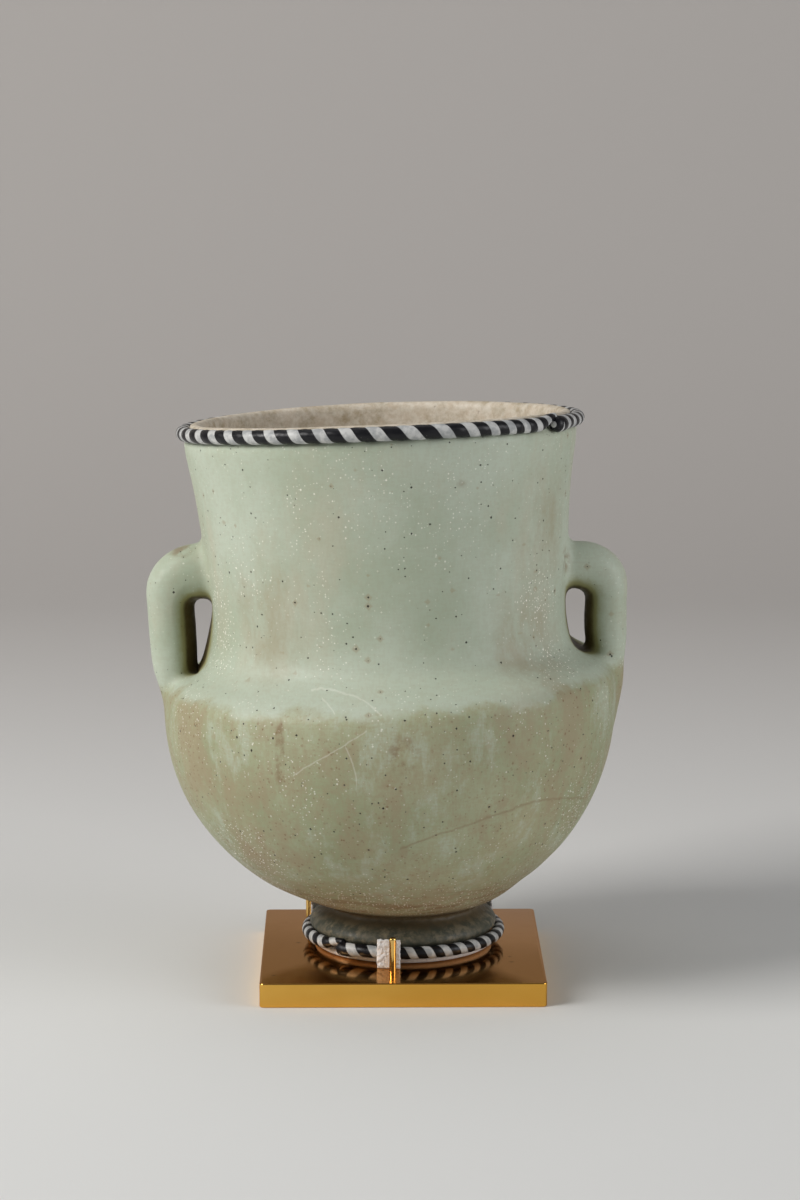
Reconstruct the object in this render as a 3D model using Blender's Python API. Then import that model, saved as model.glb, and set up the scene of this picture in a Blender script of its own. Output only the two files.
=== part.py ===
"""Small glass jar with two loop handles and twisted canes, on the brass plate that holds it up.

The jar is turned about its own upright axis, its two handles are fitted to its outside there, and
all is then settled into the pose in which it stands: the foot is level, while the bowl and neck
lean a little to the left and back. The canes are bent and settled with the same rule, so they
stay in their seats. Lengths are metres. The middle of the plate's underside is the origin.
"""
import math
from collections import namedtuple

import bmesh
import bpy
from mathutils import Matrix, Vector

# Clearance between pieces that touch each other
FIT_GAP = 0.0003

# Brass plate
PLATE_SIDE = 0.0508
PLATE_THICKNESS = 0.0044
PLATE_CORNER_RADIUS = 0.0009
PLATE_EDGE_BEVEL = 0.0004

# Place of the foot on the plate
FOOT_CENTRE_X = 0.0003
FOOT_CENTRE_Y = 0.0029

# White disc under the foot
FOOT_PAD_THICKNESS = 0.0009
FOOT_PAD_RADIUS = 0.0162

# Foot of the jar: a domed disc with a cane round its edge, narrowing to a waist under the bowl
FOOT_CANE_THICKNESS = 0.0022
FOOT_CANE_RING_RADIUS = 0.01745
FOOT_CANE_LIFT = 0.0010
FOOT_HEIGHT = 0.00625
FOOT_WAIST_RADIUS = 0.0128

# Bowl below its widest line: a fullness of 2 is a half ellipsoid, and more is fuller near the foot
BOWL_RADIUS = 0.0411
BOWL_DROP = 0.0395
BOWL_FULLNESS = 2.2
BOWL_WALL = 0.0037
BOWL_FLOOR = 0.0044

# Shoulder and neck
SHOULDER_RISE = 0.0102
NECK_RADIUS = 0.0320
NECK_NARROWEST_RISE = 0.0162
NECK_WALL = 0.0032

# Rim, with the cane that runs round it in a seat below the lip
RIM_CANE_THICKNESS = 0.00254
RIM_CANE_RING_RADIUS = 0.0354
RIM_CANE_RISE = 0.0499
LIP_RISE = 0.0016
LIP_THICKNESS = 0.00185
LIP_ROUND = 0.0013

# Lean of the bowl and neck: angles of the axis, of the bowl, of the shoulder and of the rim
LEAN_LEFT = math.radians(0.97)
LEAN_BACK = math.radians(1.49)
BOWL_TILT = math.radians(0.23)
SHOULDER_TILT = math.radians(3.09)
RIM_TILT = math.radians(2.26)
RIM_DROP_BACK = math.radians(3.66)
RIM_WARP = 0.00031
BOWL_OFFSET_LEFT = 0.00165
NECK_SHIFT_LEFT = 0.0010

# Brass pins and the soft strips between the pins and the foot
PIN_THICKNESS = 0.00125
PIN_HEIGHT = 0.0061
PIN_DOME = 0.00025
STRIP_WIDTH = 0.0044
STRIP_HEIGHT = 0.0053
STRIP_THICKNESS = 0.0004
STRIP_TURN = math.radians(-1.3)

# Bearings seen from above: zero is the front, positive turns to the right
PIN_BEARINGS = {"front": math.radians(-6.0), "left": math.radians(-120.5), "right": math.radians(127.5)}
RIM_JOINT_BEARING = math.radians(59.8)
FOOT_JOINT_BEARING = math.radians(-38.5)

# Left handle: its bar's middle above the bowl's widest line, the gap between neck and limb, half
# thicknesses from the neck down, half its depth, how far it stands proud of the bowl's widest line
# (below zero is set in), and how far below that line it ends
LEFT_BAR_RISE = 0.0249
LEFT_FINGER_GAP = 0.00345
LEFT_ROOT_HALF = 0.0049
LEFT_BAR_HALF = 0.0049
LEFT_CORNER_HALF = 0.0052
LEFT_LIMB_HALF = 0.00415
LEFT_DEPTH_HALF = 0.0052
LEFT_LANDING_PROUD = -0.0005
LEFT_LANDING_DROP = 0.0030

# Right handle, in the same order
RIGHT_BAR_RISE = 0.0224
RIGHT_FINGER_GAP = 0.0034
RIGHT_ROOT_HALF = 0.0052
RIGHT_BAR_HALF = 0.00425
RIGHT_CORNER_HALF = 0.0047
RIGHT_LIMB_HALF = 0.0039
RIGHT_DEPTH_HALF = 0.0050
RIGHT_LANDING_PROUD = 0.0012
RIGHT_LANDING_DROP = 0.0070

# Radius of both handles' outer bend, along the middle of the bar
HANDLE_BEND = 0.0056

# Fineness of the solids
JAR_SIDES = 42
CANE_SIDES = 10
HANDLE_SIDES = 14
RIM_CANE_STEPS = 52
FOOT_CANE_STEPS = 34
PIN_SIDES = 12
PAD_SIDES = 32

# Places that follow from the sizes above
PLATE_TOP = PLATE_THICKNESS
FOOT_UNDERSIDE = PLATE_TOP + FIT_GAP + FOOT_PAD_THICKNESS + FIT_GAP
FOOT_TOP = FOOT_UNDERSIDE + FOOT_HEIGHT
FOOT_CANE_HEIGHT = FOOT_UNDERSIDE + FOOT_CANE_LIFT
BOWL_LOW_ANGLE = math.asin((FOOT_WAIST_RADIUS / BOWL_RADIUS) ** (BOWL_FULLNESS / 2))
EQUATOR = FOOT_TOP + BOWL_DROP * math.cos(BOWL_LOW_ANGLE)
NECK_NARROWEST = EQUATOR + NECK_NARROWEST_RISE
RIM_CANE_HEIGHT = EQUATOR + RIM_CANE_RISE
LIP_TOP = RIM_CANE_HEIGHT + LIP_RISE
HandleSizes = namedtuple("HandleSizes", "side bar_rise finger_gap root_half bar_half corner_half limb_half "
                                        "depth_half landing_proud landing_drop")
LEFT_HANDLE = HandleSizes(-1.0, LEFT_BAR_RISE, LEFT_FINGER_GAP, LEFT_ROOT_HALF, LEFT_BAR_HALF,
                          LEFT_CORNER_HALF, LEFT_LIMB_HALF, LEFT_DEPTH_HALF, LEFT_LANDING_PROUD,
                          LEFT_LANDING_DROP)
RIGHT_HANDLE = HandleSizes(1.0, RIGHT_BAR_RISE, RIGHT_FINGER_GAP, RIGHT_ROOT_HALF, RIGHT_BAR_HALF,
                           RIGHT_CORNER_HALF, RIGHT_LIMB_HALF, RIGHT_DEPTH_HALF, RIGHT_LANDING_PROUD,
                           RIGHT_LANDING_DROP)
PIN_RING_RADIUS = (FOOT_CANE_RING_RADIUS + FOOT_CANE_THICKNESS / 2 + FIT_GAP
                   + STRIP_THICKNESS + FIT_GAP + PIN_THICKNESS / 2)


def smooth_step(low, high, value):
    """A share from 0 at low to 1 at high, with level ends."""
    share = min(max((value - low) / (high - low), 0.0), 1.0)
    return share * share * (3.0 - 2.0 * share)


def mix(first, second, share):
    """The value at a share of the way from first to second."""
    return first + (second - first) * share


def settle(point):
    """Moves a point of the upright jar to its place on the leaning jar."""
    free = smooth_step(FOOT_TOP, FOOT_TOP + 0.15 * BOWL_DROP, point.z)
    neck = smooth_step(NECK_NARROWEST, RIM_CANE_HEIGHT, point.z)
    rise = max(point.z - FOOT_TOP, 0.0)
    axis_x = FOOT_CENTRE_X - free * (BOWL_OFFSET_LEFT + math.tan(LEAN_LEFT) * rise + NECK_SHIFT_LEFT * neck)
    axis_y = FOOT_CENTRE_Y + free * math.tan(LEAN_BACK) * rise
    low_tilt = mix(BOWL_TILT, SHOULDER_TILT, smooth_step(FOOT_TOP, EQUATOR, point.z))
    tilt = math.tan(mix(low_tilt, RIM_TILT, neck))
    back = math.tan(mix(LEAN_BACK, RIM_DROP_BACK, neck))
    reach = math.hypot(point.x, point.y)
    warp = neck * RIM_WARP * (point.y ** 2 - point.x ** 2) / (reach * RIM_CANE_RING_RADIUS) if reach else 0.0
    lift = free * (tilt * point.x - back * point.y + warp)
    return Vector((point.x + axis_x, point.y + axis_y, point.z + lift))


def curve_through(points, steps):
    """Points on a smooth curve through all the given points, with a count of steps to each stretch."""
    ends = [2 * points[0] - points[1]] + list(points) + [2 * points[-1] - points[-2]]
    found = []
    for index, count in enumerate(steps):
        before, start, finish, after = ends[index:index + 4]
        for step in range(count):
            t = step / count
            found.append(0.5 * (2 * start + (finish - before) * t
                                + (2 * before - 5 * start + 4 * finish - after) * t * t
                                + (3 * start - before - 3 * finish + after) * t ** 3))
    found.append(points[-1].copy())
    return found


def arc(centre, radius, first, last, steps):
    """Points of a circle's arc in the outline plane, at angles from first to last in degrees."""
    angles = [math.radians(mix(first, last, step / steps)) for step in range(steps + 1)]
    return [Vector((centre[0] + radius * math.cos(a), centre[1] + radius * math.sin(a))) for a in angles]


def neck_places():
    """Key points of the outside from the bowl's widest line, over the shoulder, to below the rim."""
    shoulder = ((0.0, 0.0), (0.04, 0.30), (0.24, 0.51), (0.52, 0.66), (0.72, 0.785), (0.91, 1.0))
    neck = ((0.0, 0.0), (0.28, 0.40), (0.54, 0.66), (0.90, 0.885))
    places = []
    for inward, upward in shoulder:
        places.append(Vector((mix(BOWL_RADIUS, NECK_RADIUS, inward), EQUATOR + SHOULDER_RISE * upward)))
    for outward, upward in neck:
        radius = mix(NECK_RADIUS, RIM_CANE_RING_RADIUS, outward)
        places.append(Vector((radius, mix(NECK_NARROWEST, RIM_CANE_HEIGHT, upward))))
    return places


def set_in(places, low, high):
    """The same key points moved inwards, square to the outline, by low at the first and high at the last."""
    moved = []
    for index, place in enumerate(places):
        ahead = places[min(index + 1, len(places) - 1)]
        behind = places[max(index - 1, 0)] if index else places[0] - Vector((0.0, SHOULDER_RISE))
        along = (ahead - behind).normalized() if index else Vector((0.0, 1.0))
        inward = mix(low, high, index / (len(places) - 1))
        moved.append(place + inward * Vector((-along.y, along.x)))
    return moved


def bowl_arc(radius, drop, low_radius, steps):
    """The bowl's outline from low_radius up to the widest line, without its top point."""
    start = math.asin((low_radius / radius) ** (BOWL_FULLNESS / 2))
    angles = [mix(start, math.pi / 2, step / steps) for step in range(steps)]
    spread = 2 / BOWL_FULLNESS
    return [Vector((radius * math.sin(a) ** spread, EQUATOR - drop * math.cos(a))) for a in angles]


def foot_outline():
    """The foot from the middle of its underside, over the cane's seat and the dome, to its waist."""
    seat = FOOT_CANE_THICKNESS / 2 + FIT_GAP
    ring = (FOOT_CANE_RING_RADIUS, FOOT_CANE_HEIGHT)
    side = FOOT_CANE_RING_RADIUS - seat
    edge = 0.3 * FOOT_CANE_LIFT
    outline = [Vector((0.0, FOOT_UNDERSIDE)), Vector((0.6 * side, FOOT_UNDERSIDE))]
    outline += [Vector((side - edge, FOOT_UNDERSIDE)), Vector((side, FOOT_UNDERSIDE + edge))]
    outline += arc(ring, seat, 180.0, 100.0, 4)
    rim = outline[-1]
    dome = ((-0.02, 0.10), (0.06, 0.28), (0.26, 0.53), (0.59, 0.76), (1.0, 1.0))
    for inward, upward in dome:
        outline.append(Vector((mix(rim.x, FOOT_WAIST_RADIUS, inward), mix(rim.y, FOOT_TOP, upward))))
    return outline


def jar_outline():
    """The whole outline of the upright jar, from under the foot, over the lip, to the inner floor."""
    outside = neck_places()
    outline = foot_outline()
    outline += bowl_arc(BOWL_RADIUS, BOWL_DROP, FOOT_WAIST_RADIUS * 1.02, 11)
    outline += curve_through(outside, (1, 1, 2, 2, 2, 1, 1, 1, 1))
    seat = RIM_CANE_THICKNESS / 2 + FIT_GAP
    outline += arc((RIM_CANE_RING_RADIUS, RIM_CANE_HEIGHT), seat, 266.0, 125.0, 5)
    lip_middle = RIM_CANE_RING_RADIUS - seat - LIP_THICKNESS + LIP_ROUND
    outline += arc((lip_middle, LIP_TOP - LIP_ROUND), LIP_ROUND, 40.0, 180.0, 5)
    outline += reversed(set_in(outside, BOWL_WALL, NECK_WALL))
    cavity_drop = BOWL_DROP - BOWL_FLOOR
    outline += reversed(bowl_arc(BOWL_RADIUS - BOWL_WALL, cavity_drop, 0.0, 9))
    return outline


def clearance_outline():
    """The outside of the bowl and neck with a handle's clearance added, closed below and above."""
    bowl = bowl_arc(BOWL_RADIUS + FIT_GAP, BOWL_DROP + FIT_GAP, FOOT_WAIST_RADIUS, 11)
    neck = curve_through(set_in(neck_places(), -FIT_GAP, -FIT_GAP), (1, 1, 2, 2, 2, 1, 1, 1, 1))
    return [Vector((0.0, bowl[0].y))] + bowl + neck + [Vector((0.0, neck[-1].y))]


def mesh_from(vertices, faces, name):
    """A mesh whose faces are turned to point out of the closed body that they make."""
    bm = bmesh.new()
    made = [bm.verts.new(place) for place in vertices]
    for face in faces:
        bm.faces.new([made[index] for index in face])
    bmesh.ops.recalc_face_normals(bm, faces=bm.faces)
    mesh = bpy.data.meshes.new(name)
    bm.to_mesh(mesh)
    bm.free()
    return mesh


def skin_rings(rings, name):
    """A closed mesh through rings of points; a ring of one point is a pole, others are capped."""
    vertices = []
    starts = []
    for ring in rings:
        starts.append(len(vertices))
        vertices += ring
    faces = []
    for index in range(len(rings) - 1):
        low, high = rings[index], rings[index + 1]
        a, b = starts[index], starts[index + 1]
        sides = max(len(low), len(high))
        for side in range(sides):
            following = (side + 1) % sides
            if len(low) == 1:
                faces.append((a, b + side, b + following))
            elif len(high) == 1:
                faces.append((a + side, a + following, b))
            else:
                faces.append((a + side, a + following, b + following, b + side))
    for index in (0, len(rings) - 1):
        if len(rings[index]) > 1:
            faces.append(tuple(range(starts[index], starts[index] + len(rings[index]))))
    return mesh_from(vertices, faces, name)


def turned_mesh(outline, sides, name):
    """A mesh turned about the upright axis from an outline that starts or ends on the axis."""
    rings = []
    for place in outline:
        radius, height = place
        if radius < 1e-6:
            rings.append([Vector((0.0, 0.0, height))])
            continue
        angles = [math.tau * side / sides for side in range(sides)]
        rings.append([Vector((radius * math.cos(a), radius * math.sin(a), height)) for a in angles])
    return skin_rings(rings, name)


def plain_material(name, colour, roughness, metallic=0.0):
    """A Principled material of one colour."""
    material = bpy.data.materials.new(name)
    material.use_nodes = True
    shader = material.node_tree.nodes["Principled BSDF"]
    shader.inputs["Base Color"].default_value = (*colour, 1.0)
    shader.inputs["Roughness"].default_value = roughness
    shader.inputs["Metallic"].default_value = metallic
    return material


def add_object(name, mesh, material=None, sharp_angle=math.radians(40.0)):
    """Puts a mesh in the scene as a named, smoothly shaded object."""
    mesh.shade_smooth()
    mesh.set_sharp_from_angle(angle=sharp_angle)
    item = bpy.data.objects.new(name, mesh)
    bpy.context.scene.collection.objects.link(item)
    if material is not None:
        mesh.materials.clear()
        mesh.materials.append(material)
    return item


def bowl_radius_at(drop):
    """The bowl's outer radius at a drop below its widest line."""
    return BOWL_RADIUS * (1.0 - (drop / BOWL_DROP) ** 2) ** (1 / BOWL_FULLNESS)


def handle_path(sizes):
    """Middle points of a handle and its half thickness at each, in the plane of the handles."""
    bar = EQUATOR + sizes.bar_rise
    limb_reach = NECK_RADIUS + sizes.finger_gap + sizes.limb_half
    bend_x = limb_reach - HANDLE_BEND
    bend_z = bar - HANDLE_BEND
    root = NECK_RADIUS - NECK_WALL / 2
    places = [Vector((root, bar, sizes.root_half))]
    places.append(Vector((mix(root, bend_x, 0.6), bar, sizes.bar_half)))
    for share in (0.0, 0.25, 0.5, 0.75, 1.0):
        turn = math.pi / 2 * (1.0 - share)
        half = mix(mix(sizes.bar_half, sizes.limb_half, share), sizes.corner_half, math.sin(math.pi * share))
        across = bend_x + HANDLE_BEND * math.cos(turn)
        places.append(Vector((across, bend_z + HANDLE_BEND * math.sin(turn), half)))
    outer_high = limb_reach + sizes.limb_half
    outer_low = BOWL_RADIUS + sizes.landing_proud
    end_outer = bowl_radius_at(sizes.landing_drop) + 0.2 * sizes.landing_proud
    shoulder = EQUATOR + 0.85 * SHOULDER_RISE
    lower = (
        (outer_high - 0.05 * sizes.limb_half, mix(bend_z, shoulder, 0.55), sizes.limb_half),
        (mix(outer_high, outer_low, 0.25), shoulder, 0.96 * sizes.limb_half),
        (mix(outer_high, outer_low, 0.62), EQUATOR + 0.45 * SHOULDER_RISE, 0.78 * sizes.limb_half),
        (outer_low, EQUATOR, 0.48 * BOWL_WALL),
        (end_outer, EQUATOR - sizes.landing_drop, 0.36 * BOWL_WALL),
    )
    places += [Vector((outer - half, height, half)) for outer, height, half in lower]
    return curve_through(places, (1, 1, 2, 2, 2, 2, 2, 2, 2, 2, 1))


def handle_mesh(sizes, name):
    """A handle as an oval bar swept along its path, with both ends inside the jar's wall."""
    path = handle_path(sizes)
    rings = []
    for index, place in enumerate(path):
        ahead = path[min(index + 1, len(path) - 1)]
        behind = path[max(index - 1, 0)]
        along = Vector((ahead.x - behind.x, ahead.y - behind.y)).normalized()
        across = Vector((-along.y, along.x))
        depth = sizes.depth_half * mix(0.45, 1.0, min(1.0, place.z / sizes.limb_half))
        ring = []
        for side in range(HANDLE_SIDES):
            turn = math.tau * side / HANDLE_SIDES
            out = place.z * math.copysign(abs(math.cos(turn)) ** 0.85, math.cos(turn))
            back = depth * math.copysign(abs(math.sin(turn)) ** 0.85, math.sin(turn))
            ring.append(Vector((sizes.side * (place.x + across.x * out), back, place.y + across.y * out)))
        rings.append(ring)
    return skin_rings(rings, name)


def settle_mesh(mesh):
    """Moves a mesh of the upright jar to its place on the leaning jar."""
    bm = bmesh.new()
    bm.from_mesh(mesh)
    bmesh.ops.triangulate(bm, faces=bm.faces)
    bmesh.ops.remove_doubles(bm, verts=bm.verts, dist=1e-5)
    bmesh.ops.dissolve_degenerate(bm, edges=bm.edges, dist=1e-5)
    bmesh.ops.triangulate(bm, faces=bm.faces)
    for vertex in bm.verts:
        vertex.co = settle(vertex.co)
    bm.to_mesh(mesh)
    bm.free()


def jar(material):
    """The jar without its handles: foot, bowl, neck and lip turned as one wall."""
    mesh = turned_mesh(jar_outline(), JAR_SIDES, "jar")
    settle_mesh(mesh)
    return add_object("jar", mesh, material)


def handle(name, sizes, material):
    """A handle, cut along the outside of the bowl and neck with its clearance."""
    bar = add_object("upright_bar", handle_mesh(sizes, "upright_bar"))
    cutter = add_object("clearance", turned_mesh(clearance_outline(), JAR_SIDES, "clearance"))
    cutter.display_type = "WIRE"
    cutter.hide_render = True
    cut = bar.modifiers.new("cut", "BOOLEAN")
    cut.operation = "DIFFERENCE"
    cut.object = cutter
    bpy.context.view_layer.update()
    mesh = bpy.data.meshes.new_from_object(bar.evaluated_get(bpy.context.evaluated_depsgraph_get()))
    for item in (bar, cutter):
        bpy.data.objects.remove(item)
    settle_mesh(mesh)
    mesh.name = name
    return add_object(name, mesh, material)


def cane(name, ring_radius, thickness, height, joint_bearing, steps, material):
    """A cane bent round the jar: one end is a rounded bulb, and the other tapers and tucks in."""
    half = thickness / 2
    joint = joint_bearing - math.pi / 2
    bulb_half = 1.12 * half
    opening = (bulb_half + FIT_GAP) / ring_radius
    first = joint
    last = joint + math.tau - opening
    rings = []
    for step in range(steps + 1):
        angle = mix(first, last, step / steps)
        from_bulb = (angle - first) * ring_radius
        from_tip = (last - angle) * ring_radius
        bulb = 1.0 - smooth_step(0.0, 2.5 * thickness, from_bulb)
        tip = 1.0 - smooth_step(0.0, 2.5 * thickness, from_tip)
        radius = half * (1.0 + 0.12 * bulb - 0.35 * tip)
        centre = Vector((ring_radius + 0.25 * half * bulb, height + half * (0.3 * tip - 0.2 * bulb)))
        rings.append(cane_ring(angle, centre, radius))
    rings = rounded_end(rings, bulb_half, -1.0) + rings
    rings = rings + rounded_end(rings[::-1], 0.65 * half, 1.0)[::-1]
    settled = [[settle(point) for point in ring] for ring in rings]
    return add_object(name, skin_rings(settled, name), material)


def cane_ring(angle, centre, radius):
    """One round section of a cane, at an angle about the upright axis."""
    outward = Vector((math.cos(angle), math.sin(angle), 0.0))
    ring = []
    for side in range(CANE_SIDES):
        turn = math.tau * side / CANE_SIDES
        reach = centre.x + radius * math.cos(turn)
        ring.append(outward * reach + Vector((0.0, 0.0, centre.y + radius * math.sin(turn))))
    return ring


def rounded_end(rings, reach, direction):
    """Shrinking rings and a pole that close a cane's end, outermost first."""
    edge = rings[0]
    centre = sum(edge, Vector()) / len(edge)
    along = Vector((-centre.y, centre.x, 0.0)).normalized() * direction
    ends = [[centre + along * reach]]
    for share in (0.87, 0.5):
        push = along * reach * share
        shrink = math.sqrt(1.0 - share * share)
        ends.append([centre + (point - centre) * shrink + push for point in edge])
    return ends


def on_plate(ring_radius, bearing):
    """A place on the plate at a radius and bearing about the foot's middle."""
    x = FOOT_CENTRE_X + ring_radius * math.sin(bearing)
    y = FOOT_CENTRE_Y - ring_radius * math.cos(bearing)
    return Vector((x, y, 0.0))


def edge_rise(edge):
    """How far an edge climbs from its lower end to its upper end."""
    return abs(edge.verts[0].co.z - edge.verts[1].co.z)


def mount_plate(material):
    """The square brass plate, with rounded corners and fine bevels along its faces."""
    bm = bmesh.new()
    bmesh.ops.create_cube(bm, size=1.0)
    for vertex in bm.verts:
        vertex.co.x *= PLATE_SIDE
        vertex.co.y *= PLATE_SIDE
        vertex.co.z = (vertex.co.z + 0.5) * PLATE_THICKNESS
    upright = [edge for edge in bm.edges if edge_rise(edge) > PLATE_THICKNESS / 2]
    bmesh.ops.bevel(bm, geom=upright, offset=PLATE_CORNER_RADIUS, segments=4, affect="EDGES", profile=0.5)
    level = [edge for edge in bm.edges if edge_rise(edge) < PLATE_THICKNESS / 2]
    bmesh.ops.bevel(bm, geom=level, offset=PLATE_EDGE_BEVEL, segments=2, affect="EDGES", profile=0.5)
    bmesh.ops.recalc_face_normals(bm, faces=bm.faces)
    mesh = bpy.data.meshes.new("mount_plate")
    bm.to_mesh(mesh)
    bm.free()
    return add_object("mount_plate", mesh, material, math.radians(25.0))


def pin(name, bearing, material):
    """A brass pin that stands on the plate, with a slightly domed top."""
    half = PIN_THICKNESS / 2
    low = PLATE_TOP + FIT_GAP
    top = PLATE_TOP + PIN_HEIGHT
    outline = [Vector((0.0, low)), Vector((half, low)), Vector((half, top - PIN_DOME))]
    outline += [Vector((0.75 * half, top - 0.3 * PIN_DOME)), Vector((0.0, top))]
    mesh = turned_mesh(outline, PIN_SIDES, name)
    mesh.transform(Matrix.Translation(on_plate(PIN_RING_RADIUS, bearing)))
    return add_object(name, mesh, material)


def strip(name, bearing, material):
    """A soft strip that stands between a pin and the cane round the foot."""
    inner = FOOT_CANE_RING_RADIUS + FOOT_CANE_THICKNESS / 2 + FIT_GAP
    outer = inner + STRIP_THICKNESS
    low = PLATE_TOP + FIT_GAP
    high = PLATE_TOP + STRIP_HEIGHT
    middle = bearing + STRIP_TURN
    half_turn = STRIP_WIDTH / 2 / inner
    slices = 6
    rings = []
    for index in range(slices + 1):
        turn = middle + mix(-half_turn, half_turn, index / slices)
        corners = ((inner, low), (outer, low), (outer, high), (inner, high))
        rings.append([on_plate(radius, turn) + Vector((0.0, 0.0, height)) for radius, height in corners])
    return add_object(name, skin_rings(rings, name), material)


def foot_pad(material):
    """The thin white disc that the foot stands on."""
    low = PLATE_TOP + FIT_GAP
    high = low + FOOT_PAD_THICKNESS
    edge = 0.25 * FOOT_PAD_THICKNESS
    radius = FOOT_PAD_RADIUS
    outline = [Vector((0.0, low)), Vector((radius - edge, low)), Vector((radius, low + edge))]
    outline += [Vector((radius, high - edge)), Vector((radius - edge, high)), Vector((0.0, high))]
    mesh = turned_mesh(outline, PAD_SIDES, "foot_pad")
    mesh.transform(Matrix.Translation(Vector((FOOT_CENTRE_X, FOOT_CENTRE_Y, 0.0))))
    return add_object("foot_pad", mesh, material)


def main():
    """Clears the scene and builds every piece."""
    for item in list(bpy.data.objects):
        bpy.data.objects.remove(item)
    jar(plain_material("pale_green_glass", (0.40, 0.46, 0.37), 0.35))
    handle("handle_left", LEFT_HANDLE, plain_material("pale_green_glass_left", (0.40, 0.46, 0.37), 0.35))
    handle("handle_right", RIGHT_HANDLE, plain_material("pale_green_glass_right", (0.38, 0.44, 0.35), 0.35))
    cane("rim_cane", RIM_CANE_RING_RADIUS, RIM_CANE_THICKNESS, RIM_CANE_HEIGHT, RIM_JOINT_BEARING,
         RIM_CANE_STEPS, plain_material("twisted_cane_rim", (0.10, 0.10, 0.11), 0.30))
    cane("foot_cane", FOOT_CANE_RING_RADIUS, FOOT_CANE_THICKNESS, FOOT_CANE_HEIGHT, FOOT_JOINT_BEARING,
         FOOT_CANE_STEPS, plain_material("twisted_cane_foot", (0.12, 0.12, 0.13), 0.30))
    mount_plate(plain_material("polished_brass", (0.70, 0.47, 0.16), 0.12, 1.0))
    foot_pad(plain_material("white_felt_disc", (0.75, 0.72, 0.72), 0.90))
    for side, bearing in PIN_BEARINGS.items():
        pin("pin_" + side, bearing, plain_material("brass_pin_" + side, (0.74, 0.50, 0.18), 0.15, 1.0))
        strip("pad_" + side, bearing, plain_material("white_felt_" + side, (0.80, 0.78, 0.75), 0.92))


if __name__ == "__main__":
    main()
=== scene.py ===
"""Looks of a small glass jar with two handles and twisted canes, standing on a polished brass plate.

The jar and its canes are modelled about the jar's own upright axis and then settled into the lean in
which the jar stands, so canes, handles and wall stay together. Lengths are metres.
"""

import logging
import math
from dataclasses import dataclass, field
from enum import Enum
from typing import Sequence

import bmesh
import bpy
import numpy as np
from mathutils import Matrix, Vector, noise


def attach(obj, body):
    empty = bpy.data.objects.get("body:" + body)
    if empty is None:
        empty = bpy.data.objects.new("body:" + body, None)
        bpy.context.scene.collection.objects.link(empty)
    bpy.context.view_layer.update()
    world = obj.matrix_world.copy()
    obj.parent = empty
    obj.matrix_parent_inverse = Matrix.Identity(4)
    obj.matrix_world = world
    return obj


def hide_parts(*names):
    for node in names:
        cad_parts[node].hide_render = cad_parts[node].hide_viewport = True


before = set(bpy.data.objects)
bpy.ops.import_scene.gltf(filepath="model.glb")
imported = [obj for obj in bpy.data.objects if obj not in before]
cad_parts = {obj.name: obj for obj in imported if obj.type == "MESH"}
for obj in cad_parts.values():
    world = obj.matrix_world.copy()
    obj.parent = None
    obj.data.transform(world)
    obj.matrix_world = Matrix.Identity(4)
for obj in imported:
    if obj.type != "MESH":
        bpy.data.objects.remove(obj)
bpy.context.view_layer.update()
ROOT = "root"
NOISE_SEED = 7
LOG = logging.getLogger("glass_jar")

Colour = tuple[float, float, float]
Place = tuple[float, float, float]
Rings = list[list[Vector]]
Item = bpy.types.Object
Material = bpy.types.Material
Socket = bpy.types.NodeSocket
Tree = bpy.types.NodeTree


class Slot(Enum):
    """Material slots of the record."""

    GLASS = "jar_glass"
    CANE = "cane_glass"
    BRASS = "brass"
    FELT = "felt"


class Side(Enum):
    """The two sides that carry a handle."""

    LEFT = -1.0
    RIGHT = 1.0


def mix(first: float, second: float, share: float) -> float:
    """The value at a share of the way from first to second."""
    return first + (second - first) * share


def smooth_step(low: float, high: float, value: float | np.ndarray) -> float | np.ndarray:
    """A share from 0 at low to 1 at high, with level ends, of a number or of an array."""
    share = np.clip((value - low) / (high - low), 0.0, 1.0)
    return share * share * (3.0 - 2.0 * share)


def curve_through(points: Sequence[Vector], steps: Sequence[int]) -> list[Vector]:
    """Finds points on a smooth curve through all the given points.

    Args:
        points: Places that the curve passes through.
        steps: Count of steps in each stretch between two places.

    Returns:
        The points, the first and the last place among them.
    """
    ends = [2 * points[0] - points[1]] + list(points) + [2 * points[-1] - points[-2]]
    found = []
    for index, count in enumerate(steps):
        before, start, finish, after = ends[index:index + 4]
        for step in range(count):
            t = step / count
            found.append(0.5 * (2 * start + (finish - before) * t
                                + (2 * before - 5 * start + 4 * finish - after) * t * t
                                + (3 * start - before - 3 * finish + after) * t ** 3))
    found.append(points[-1].copy())
    return found


def angles_round(sides: int) -> list[float]:
    """Evenly spaced angles once round a circle."""
    return [math.tau * side / sides for side in range(sides)]


def arc(centre: Sequence[float], radius: float, first: float, last: float, steps: int) -> list[Vector]:
    """Points of a circle's arc in the outline plane, at angles from first to last in degrees."""
    angles = [math.radians(mix(first, last, step / steps)) for step in range(steps + 1)]
    return [Vector((centre[0] + radius * math.cos(a), centre[1] + radius * math.sin(a))) for a in angles]


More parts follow.
